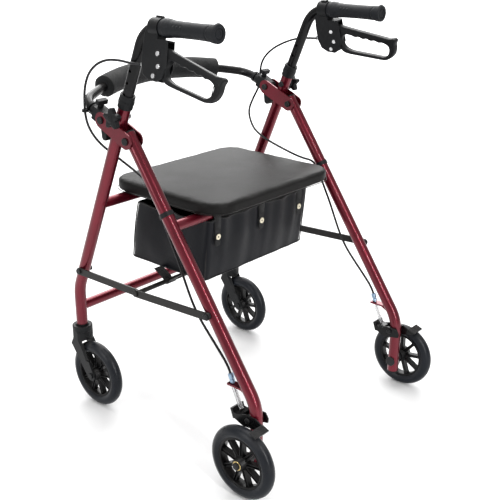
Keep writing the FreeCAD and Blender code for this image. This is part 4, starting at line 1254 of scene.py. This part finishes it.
def grip_relief(y, turn):
    """How far the grip's skin stands out or in, in millimetres."""
    relief = 0.0
    for spot in (0.35, math.pi - 0.35):
        for dimple in range(3):
            away = math.hypot(y - (188.0 - 8.5 * dimple),
                              15 * math.remainder(turn - spot, math.tau))
            relief += 1.3 * bell(away, 2.0) - 0.5 * bell(away - 3.4, 1.2)
    scoop = 98.0 + 13.0 * abs(math.cos(turn)) * (1 if math.sin(turn) < 0.8 else 0.4)
    relief += 1.6 / (1 + math.exp((y - scoop) * 1.6)) - 1.1 * bell(y - scoop - 2.6, 2.0)
    relief += 1.5 * bell(y - 95.0, 1.6) * bell(math.remainder(turn - math.pi / 2, math.tau), 0.5)
    if 128 < y < 180:
        ridge = 0.5 + 0.5 * math.cos(y * math.tau / 4.4)
        relief -= 0.4 * ridge * bell(math.remainder(turn + math.pi / 2, math.tau), 0.85)
    return relief


def build_grip(side):
    rings = []
    stations = [92.0 + 134.0 * step / 150 for step in range(151)]
    disc = [(93.4, 0.12), (93.4, 0.30), (92.6, 0.34), (92.6, 0.52), (93.6, 0.56), (93.6, 0.68),
            (92.2, 0.72), (92.0, 0.90), (92.1, 0.98)]
    for y, share in disc + [(station, 1.0) for station in stations]:
        ring = []
        for step in range(56):
            turn = math.tau * step / 56
            radius = grip_radius(y) * share
            if share == 1.0:
                radius += grip_relief(y, turn)
            ring.append(place(0, y, 0) + Vector((FRAME_X + radius * MM * math.cos(turn), 0,
                                                 GRIP_Z + radius * MM * math.sin(turn))))
        rings.append(ring)
    grip = loft("grip_skin_" + side, rings, grip_skin())
    shade_by_angle(grip, 42.0)
    if side == "left":
        mirror_x(grip)
    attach(grip, "handle_" + side)
    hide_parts("grip_" + side)


def lean_matrix():
    """Leans a right-hand brake piece outwards about the grip's axis."""
    pivot = Vector((FRAME_X, 0, GRIP_Z))
    return (Matrix.Translation(pivot) @ Matrix.Rotation(-BRAKE_TILT, 4, "Y")
            @ Matrix.Translation(-pivot))


def flat(points, drop=0.0):
    """Outline points from millimetres ahead of the axle and below the grip's axis."""
    return [(AXLE_Y + point[0] * MM, GRIP_Z - point[1] * MM, *[r * MM for r in point[2:]])
            for point in points]


def finger_grooves(outline):
    """Scallops the underside of the lever's upper bar, where the fingers lie."""
    result = []
    for point in outline:
        y = (point.x - AXLE_Y) / MM
        depth = (GRIP_Z - point.y) / MM
        if 92 < y < 172 and depth < 70:
            point = Vector((point.x, point.y - 0.0011 * (1 - math.cos((y - 92) * math.tau / 20))))
        result.append(point)
    return result


def dense(points, step=0.002):
    """Adds points along an outline's long runs."""
    result = []
    for here, after in zip(points, points[1:] + points[:1]):
        count = max(1, int((after - here).length / step))
        result += [mix(here, after, part / count) for part in range(count)]
    return result


def build_lever(side):
    droop = math.radians({"left": 7.0, "right": 0.0}[side])
    outer = flat([(228, 41, 5), (222, 33.5, 6), (206, 31.5, 8), (184, 36, 20), (76, 52, 10),
                  (64, 49.5, 4), (57.5, 54, 4), (62, 62, 6), (62, 78, 12), (69, 91, 12),
                  (86, 100.5, 12), (179, 94.8, 10), (196, 91.8, 8), (206, 78, 10), (209, 56, 6),
                  (226, 54, 6)])
    inner = flat([(188, 50, 8), (92, 61, 9), (75, 68, 9), (78, 86, 9), (90, 93.5, 8),
                  (176, 87.5, 10), (194, 80, 12), (198, 62, 12)])
    outer = corner_cut(outer, 0.004)
    inner = finger_grooves(dense(corner_cut(inner, 0.004)))
    at = Vector((0, AXLE_Y + 0.220, GRIP_Z - 0.046))
    lay = (lean_matrix() @ Matrix.Translation(at) @ Matrix.Rotation(droop, 4, "X")
           @ Matrix.Translation(-at))
    lever = rounded_plate("lever_loop_" + side, [outer, inner], FRAME_X - 0.007, FRAME_X + 0.007,
                          0.0026, moulding(), lay)
    ribs = []
    for number in range(4):
        y = 66.5 + 3.4 * number
        low = place(0, y, 0)
        rib = tube("lever_rib_%s_%d" % (side, number),
                   [Vector((FRAME_X + 0.0069, low.y, GRIP_Z - depth * MM))
                    for depth in (62 + number, 70, 80, 86 + 0.7 * number)], 0.0007, moulding(), 8)
        rib.data.transform(lay)
        ribs.append(rib)
    lever = join([lever] + ribs, "lever_loop_" + side)
    if side == "left":
        mirror_x(lever)
    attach(lever, "lever_" + side)
    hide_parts("brake_lever_" + side)


def build_ferrule(side):
    """The clear sleeve where the cable enters the brake housing."""
    centre = place(0, 250, 0) + Vector((FRAME_X, 0, GRIP_Z - 0.068))
    sleeve = turned("cable_ferrule_" + side, centre, (0, 1, 0),
                    ((0.0045, 0.0046), (0.0055, 0.0050), (0.0115, 0.0050), (0.0130, 0.0045),
                     (0.0165, 0.0043), (0.0168, 0.0034)), clear_ferrule(), 32)
    sleeve.data.transform(lean_matrix())
    if side == "left":
        mirror_x(sleeve)
    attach(sleeve, "handle_" + side)


def build_rivet_rings(side):
    """Dark rings under the housing's rivet heads."""
    rings = []
    for y, depth in ((220, 46), (214.5, 68), (224, 85.5)):
        centre = place(0, y, 0) + Vector((FRAME_X + 0.0109, 0, GRIP_Z - depth * MM))
        rings.append(ring_piece("rivet_ring", centre, ((0.0042, 0.0), (0.0050, 0.0010),
                                                       (0.0064, 0.0010), (0.0070, 0.0)),
                                black_bolt(), 32))
    whole = join(rings, "rivet_rings_" + side)
    whole.data.transform(lean_matrix())
    if side == "left":
        mirror_x(whole)
    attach(whole, "handle_" + side)


# ---------------------------------------------------------------- knobs

def build_star_knob(side):
    """A five-lobed hand knob with a domed centre."""
    pos = JOINTS["height_knob_turn_right"]["pos_m"]
    face = FRAME_X + 0.0127 + 0.0005
    outline = []
    for step in range(120):
        turn = math.tau * step / 120
        radius = 0.0172 + 0.0042 * math.cos(5 * (turn - math.pi / 2))
        outline.append(Vector((pos[1] + radius * math.cos(turn), pos[2] + radius * math.sin(turn))))
    star = rounded_plate("star_knob_" + side, [outline], face + 0.006, face + 0.0195, 0.0030,
                         moulding(), Matrix.Identity(4))
    centre = Vector((face, pos[1], pos[2]))
    hub = turned("knob_hub", centre, (1, 0, 0), ((0.0, 0.0078), (0.0005, 0.0088),
                                                  (0.0085, 0.0088)), moulding(), 32)
    cap = turned("knob_cap", centre, (1, 0, 0), ((0.0190, 0.0078), (0.0200, 0.0074),
                                                  (0.0205, 0.0060), (0.0208, 0.0030)),
                 moulding(), 32)
    knob = join([star, hub, cap], "star_knob_" + side)
    if side == "left":
        mirror_x(knob)
    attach(knob, "height_knob_" + side)
    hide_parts("height_knob_" + side)


# ---------------------------------------------------------------- wheels

def ring_piece(name, centre, profile, material, count=96):
    """A ring about an axis along X: profile is a closed loop of (radius, along) pairs."""
    rings = []
    for step in range(count):
        turn = math.tau * step / count
        out = Vector((0, math.cos(turn), math.sin(turn)))
        rings.append([centre + out * radius + Vector((along, 0, 0)) for radius, along in profile])
    return loft(name, rings + rings[:1], material, caps=False)


def build_tyre(wheel, centre):
    half, inner, outer = 0.0139, 0.0542, 0.0762
    arc = []
    for step in range(29):
        turn = math.pi * step / 28 - math.pi / 2
        flat_top = 0.80
        along = half * math.sin(turn)
        rise = abs(math.cos(turn)) ** flat_top
        arc.append((inner + 0.003 + (outer - inner - 0.0034) * rise, along))
    profile = [(inner, -0.0098)] + arc[1:-1] + [(inner, 0.0098), (inner - 0.0001, 0.0)]
    profile = [(radius + (0.00028 if abs(along) < 0.0007 else 0.0), along)
               for radius, along in profile]
    tyre = ring_piece("tyre_" + wheel, centre, profile, tyre_rubber(), 120)
    shade_by_angle(tyre, 40.0)
    return tyre


def spoke_shape(inner, outer):
    """One channel-section spoke standing on the axle's line."""
    section = ((-3.9, -5.8), (-3.2, -6.1), (3.2, -6.1), (3.9, -5.8), (3.9, 5.8), (3.2, 6.1),
               (2.2, 6.0), (1.8, 5.4), (1.6, 1.6), (-1.6, 1.6), (-1.8, 5.4), (-2.2, 6.0),
               (-3.2, 6.1), (-3.9, 5.8))
    rings = []
    for share in (0.0, 0.06, 0.2, 0.5, 0.8, 0.93, 1.0):
        flare = 1.0 + 0.35 * bell(share, 0.12) + 0.25 * bell(share - 1.0, 0.10) - 0.10 * share
        z = mix(inner, outer, share)
        rings.append([Vector((x * MM * (1.0 + 0.08 * (1 - share)), y * MM * flare, z))
                      for y, x in section])
    return loft("spoke", rings, rim_moulding())


def build_rim(wheel, centre, side, hub_half, outward_brass):
    felloe = ring_piece("felloe", centre, ((0.0500, -0.0100), (0.0515, -0.0092), (0.0540, -0.0100),
                                           (0.0545, -0.0088), (0.0541, 0.0), (0.0545, 0.0088),
                                           (0.0540, 0.0100), (0.0515, 0.0092), (0.0500, 0.0100),
                                           (0.0494, 0.0080), (0.0490, 0.0), (0.0494, -0.0080)),
                        rim_moulding(), 96)
    spoke = spoke_shape(0.0105, 0.0505)
    if side == "left":
        mirror_x(spoke)
    run_tree(spoke, ring_of_spokes_tree(), {"Count": sizes().spokes, "Centre": tuple(centre),
                                            "Finish": rim_moulding()})
    for face in spoke.data.polygons:
        face.use_smooth = True
    shade_by_angle(spoke, 30.0)
    sign = SIDES[side]
    hub = turned("hub", centre, (sign, 0, 0),
                 ((-hub_half, 0.0075), (-hub_half, 0.0118), (-hub_half + 0.0008, 0.0128),
                  (-0.007, 0.0134), (-0.0055, 0.0152), (0.0055, 0.0152), (0.007, 0.0134),
                  (hub_half - 0.0008, 0.0128), (hub_half, 0.0118), (hub_half, 0.0075)),
                 rim_moulding(), 48)
    pieces = [felloe, spoke, hub]
    if outward_brass:
        pieces.append(turned("bearing", centre, (sign, 0, 0),
                             ((hub_half - 0.0005, 0.0098), (hub_half + 0.0002, 0.0098),
                              (hub_half + 0.00025, 0.0078)), brass(), 40))
    rim = join(pieces, "rim_" + wheel)
    return rim


def build_wheel(end, side):
    """A tyre and a spoked rim about their axle."""
    joint = JOINTS["%s_wheel_spin_%s" % (end, side)]
    centre = Vector(joint["pos_m"])
    wheel = "%s_%s" % (end, side)
    body = "%s_wheel_%s" % (end, side)
    tyre = build_tyre(wheel, centre)
    rim = build_rim(wheel, centre, side, 0.018 if end == "rear" else 0.0160, end == "rear")
    for piece, node, finish_slot in ((tyre, "%s_tyre_%s", "tyre"), (rim, "%s_rim_%s",
                                                                    "black_plastic")):
        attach(piece, body)
        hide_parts(node % (end, side))


# ---------------------------------------------------------------- brake springs and wires

STOP_WAY = Vector((0, 8, 24)).normalized()


def stop_line(side):
    """The return spring's top, under the cable stop, and its foot on the brake arm."""
    top = place(SIDES[side] * 251, 60, 206) - STOP_WAY * 0.0052
    return top, place(SIDES[side] * 251, 37.5, 158.2)


def build_springs():
    for side in SIDES:
        top, foot = stop_line(side)
        axis = top - foot
        dot = mesh_object("return_spring_" + side, [(0, 0, 0)], [], bright_steel())
        run_tree(dot, coil_tree(), {"Turns": float(sizes().spring_turns), "Radius": 0.0044,
                                    "Height": axis.length - 0.0012, "Wire": sizes().spring_wire,
                                    "Finish": bright_steel()})
        dot.data.transform(Matrix.Translation(foot + axis.normalized() * 0.0006)
                           @ axis.to_track_quat("Z", "Y").to_matrix().to_4x4())
        for face in dot.data.polygons:
            face.use_smooth = True
        wire = tube("brake_wire_" + side, [mix(foot, top, step / 6) for step in range(7)], 0.0008,
                    bright_steel(), 8)
        for piece in (dot, wire):
            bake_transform(piece)
    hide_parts("brake_springs")


# ---------------------------------------------------------------- brake cables

UPPER_ROUTES = {
    "left": ((267, 292, 791), (267, 330, 794), (268, 368, 791), (269, 402, 776), (269, 426, 751),
             (269, 437, 716), (269, 437, 668), (262, 428, 638), (249, 414, 614), (236, 393, 596),
             (230, 363, 580), (229, 328, 566), (233, 293, 551), (243, 266, 531)),
    "right": ((267, 292, 791), (268, 328, 787), (269, 364, 775), (269, 400, 757), (269, 426, 734),
              (269, 437, 708), (269, 437, 666), (267, 456, 634), (259, 466, 600), (246, 441, 569),
              (235, 415, 559), (231, 388, 549), (231, 362, 541), (235, 320, 528), (245, 285, 516)),
}
LOWER_ROUTE = ((251, 224, 462), (251, 204, 425), (251, 187, 388), (251, 170, 352), (251, 151, 322),
               (251, 127, 296), (251, 101, 270))


def cable_points(side):
    """Control points of a brake cable, from the housing to the barrel adjuster."""
    start = Vector((FRAME_X + 0.068 * math.sin(BRAKE_TILT), AXLE_Y + 0.262,
                    GRIP_Z - 0.068 * math.cos(BRAKE_TILT)))
    upper = [place(*point) for point in UPPER_ROUTES[side]]
    lower = [place(*point) for point in LOWER_ROUTE]
    mouth = place(251, 60, 206) + STOP_WAY * 0.018
    clip = [place(251, 254.2, 513.4), place(251, 237.1, 488.7)]
    points = [start] + upper + clip + lower + [mouth + STOP_WAY * 0.016, mouth]
    return [Vector((point.x * SIDES[side], point.y, point.z)) for point in points]


def split_at(points, marks):
    """Cuts a run of points where it first comes nearest each mark; cuts share a point."""
    cuts = [0]
    for mark in marks:
        rest = range(cuts[-1] + 1, len(points))
        cuts.append(min(rest, key=lambda index: (points[index] - mark).length))
    cuts.append(len(points) - 1)
    return [points[a:b + 1] for a, b in zip(cuts, cuts[1:])], cuts


def build_cable(side):
    """A brake cable, cut where it passes from one moving body to the next."""
    route = smooth_route(cable_points(side))
    turns = frames_along(route)
    upper = UPPER_ROUTES[side]
    sign = SIDES[side]
    marks = [place(sign * upper[3][0], *upper[3][1:]), place(sign * 269, 437, 685),
             place(sign * upper[8][0], *upper[8][1:]), place(sign * 251, 243, 497)]
    runs, cuts = split_at(route, marks)
    carried = (("handle_" + side, "root"), ("root", "backrest"), ("backrest", "root"),
               ("root", "rear_frame"), ("rear_frame",))
    for number, (run, bodies) in enumerate(zip(runs, carried)):
        begin = cuts[number]
        piece = tube("brake_cable_%s_%d" % (side, number), run, sizes().cable_width / 2,
                     cable_sleeve(), 12, turns[begin:begin + len(run)])
        if len(bodies) == 2:
            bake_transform(piece)
        else:
            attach(piece, bodies[0])
        if number == 0:
            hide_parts("brake_cable_" + side)


# ---------------------------------------------------------------- bolt faces

def sockets_tree():
    """A small hexagon socket on every incoming point, facing along X."""
    if "Bolt sockets" in bpy.data.node_groups:
        return bpy.data.node_groups["Bolt sockets"]
    group = geometry_tree("Bolt sockets", [("Size", "NodeSocketFloat", 0.0022),
                                           ("Finish", "NodeSocketMaterial", None)])
    tree = Tree(group)
    entry = tree.add("NodeGroupInput").outputs
    dots = tree.add("GeometryNodeMeshToPoints", {0: entry["Geometry"]})
    key = tree.add("GeometryNodeMeshCylinder", {"Vertices": 6, "Radius": entry["Size"],
                                                "Depth": 0.0004})
    rotation = tree.add("FunctionNodeEulerToRotation", {0: (0.0, math.pi / 2, 0.0)})
    copies = tree.add("GeometryNodeInstanceOnPoints", {"Points": dots.outputs[0],
                                                       "Instance": key.outputs["Mesh"],
                                                       "Rotation": rotation.outputs[0]})
    real = tree.add("GeometryNodeRealizeInstances", {0: copies.outputs[0]})
    painted = tree.add("GeometryNodeSetMaterial", {"Geometry": real.outputs[0],
                                                   "Material": entry["Finish"]})
    leave = tree.add("NodeGroupOutput")
    group.links.new(painted.outputs[0], leave.inputs[0])
    return group


def socket_shadow():
    return coating("Socket shadow", (0.004, 0.004, 0.004), 0.7, 0.0, (600.0, 0.2, 0.1, 0.0001))


def end_faces(node):
    """The centres of a node's solids where they end furthest out on each side."""
    low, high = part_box(node)
    return [(side, high.x if side > 0 else low.x) for side in (-1, 1)]


def build_bolt_faces():
    """Hexagon sockets in the outermost bolt heads."""
    spots = {
        "rear_frame": [("rear_axle_bolts", (0, 76.2), 0.0030)],
        "rear_struts": [("strut_end_bolts", (111.8, 338.6), 0.0026)],
        "front_struts": [("cross_rod", (308.4, 327.9), 0.0026)],
    }
    for body, bolts in spots.items():
        for node, at, size in bolts:
            points = []
            for _, x in end_faces(node):
                spot = place(0, *at)
                points.append((x, spot.y, spot.z))
            dots = mesh_object("sockets_" + node, points, [], socket_shadow())
            run_tree(dots, sockets_tree(), {"Size": size, "Finish": socket_shadow()})
            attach(dots, body)


# ---------------------------------------------------------------- operators

def build_grips():
    for side in SIDES:
        build_grip(side)


def build_hand_brakes():
    for side in SIDES:
        build_lever(side)
        build_ferrule(side)
        build_rivet_rings(side)


def build_knobs():
    for side in SIDES:
        build_star_knob(side)


def build_wheels():
    for end in ("rear", "front"):
        for side in SIDES:
            build_wheel(end, side)


def build_cables():
    for side in SIDES:
        build_cable(side)


def build_stage():
    build_camera()
    build_floor()
    build_lights()


def build_fastenings():
    build_tabs()
    build_snaps()
    build_pull_strap()


class ROLLATOR_OT_stage(bpy.types.Operator):
    """Camera, floor and studio lights."""
    bl_idname = "rollator.stage"
    bl_label = "Stage"

    def execute(self, context):
        build_stage()
        return {"FINISHED"}


class ROLLATOR_OT_frame(bpy.types.Operator):
    """Paint and plating on the frame."""
    bl_idname = "rollator.frame"
    bl_label = "Frame finishes"

    def execute(self, context):
        build_frame_finishes()
        return {"FINISHED"}


class ROLLATOR_OT_seat(bpy.types.Operator):
    """Padded seat with its hem and piping."""
    bl_idname = "rollator.seat"
    bl_label = "Seat"

    def execute(self, context):
        build_seat()
        return {"FINISHED"}


class ROLLATOR_OT_bag(bpy.types.Operator):
    """Sewn bag under the seat."""
    bl_idname = "rollator.bag"
    bl_label = "Bag"

    def execute(self, context):
        build_bag()
        return {"FINISHED"}


class ROLLATOR_OT_fastenings(bpy.types.Operator):
    """Webbing tabs, snaps and pull strap."""
    bl_idname = "rollator.fastenings"
    bl_label = "Fastenings"

    def execute(self, context):
        build_fastenings()
        return {"FINISHED"}


class ROLLATOR_OT_foam(bpy.types.Operator):
    """Foam sleeve on the backrest bow."""
    bl_idname = "rollator.foam"
    bl_label = "Backrest foam"

    def execute(self, context):
        build_foam()
        return {"FINISHED"}


class ROLLATOR_OT_grips(bpy.types.Operator):
    """Moulded hand grips."""
    bl_idname = "rollator.grips"
    bl_label = "Grips"

    def execute(self, context):
        build_grips()
        return {"FINISHED"}


class ROLLATOR_OT_hand_brakes(bpy.types.Operator):
    """Lever loops, ferrules and rivet rings."""
    bl_idname = "rollator.hand_brakes"
    bl_label = "Hand brakes"

    def execute(self, context):
        build_hand_brakes()
        return {"FINISHED"}


class ROLLATOR_OT_knobs(bpy.types.Operator):
    """Height knobs."""
    bl_idname = "rollator.knobs"
    bl_label = "Knobs"

    def execute(self, context):
        build_knobs()
        return {"FINISHED"}


class ROLLATOR_OT_wheels(bpy.types.Operator):
    """Tyres and spoked rims."""
    bl_idname = "rollator.wheels"
    bl_label = "Wheels"

    def execute(self, context):
        build_wheels()
        return {"FINISHED"}


class ROLLATOR_OT_springs(bpy.types.Operator):
    """Return springs and brake wires."""
    bl_idname = "rollator.springs"
    bl_label = "Springs"

    def execute(self, context):
        build_springs()
        return {"FINISHED"}


class ROLLATOR_OT_cables(bpy.types.Operator):
    """Brake cables."""
    bl_idname = "rollator.cables"
    bl_label = "Cables"

    def execute(self, context):
        build_cables()
        return {"FINISHED"}


class ROLLATOR_OT_bolts(bpy.types.Operator):
    """Hexagon sockets in the bolts."""
    bl_idname = "rollator.bolts"
    bl_label = "Bolt faces"

    def execute(self, context):
        build_bolt_faces()
        return {"FINISHED"}


OPERATORS = [
    ROLLATOR_OT_stage,
    ROLLATOR_OT_frame,
    ROLLATOR_OT_seat,
    ROLLATOR_OT_bag,
    ROLLATOR_OT_fastenings,
    ROLLATOR_OT_foam,
    ROLLATOR_OT_grips,
    ROLLATOR_OT_hand_brakes,
    ROLLATOR_OT_knobs,
    ROLLATOR_OT_wheels,
    ROLLATOR_OT_springs,
    ROLLATOR_OT_cables,
    ROLLATOR_OT_bolts,
]


class ROLLATOR_PT_pieces(bpy.types.Panel):
    """Lists the pieces, their sizes and their colours."""
    bl_idname = "ROLLATOR_PT_pieces"
    bl_label = "Rollator"
    bl_space_type = "VIEW_3D"
    bl_region_type = "UI"
    bl_category = "Rollator"

    def draw(self, context):
        for operator in OPERATORS:
            self.layout.operator(operator.bl_idname)
        for group in (context.scene.rollator_sizes, context.scene.rollator_colours):
            for key in group.bl_rna.properties.keys():
                if key not in {"rna_type", "name"}:
                    self.layout.prop(group, key)


CLASSES = [RollatorSizes, RollatorColours] + OPERATORS + [ROLLATOR_PT_pieces]


def register():
    for item in CLASSES:
        bpy.utils.register_class(item)
    bpy.types.Scene.rollator_sizes = PointerProperty(type=RollatorSizes)
    bpy.types.Scene.rollator_colours = PointerProperty(type=RollatorColours)


def unregister():
    del bpy.types.Scene.rollator_colours
    del bpy.types.Scene.rollator_sizes
    for item in reversed(CLASSES):
        bpy.utils.unregister_class(item)


def main():
    register()
    for operator in OPERATORS:
        step = operator.bl_idname.split(".")[1]
        getattr(bpy.ops.rollator, step)()


if __name__ == "__main__":
    main()
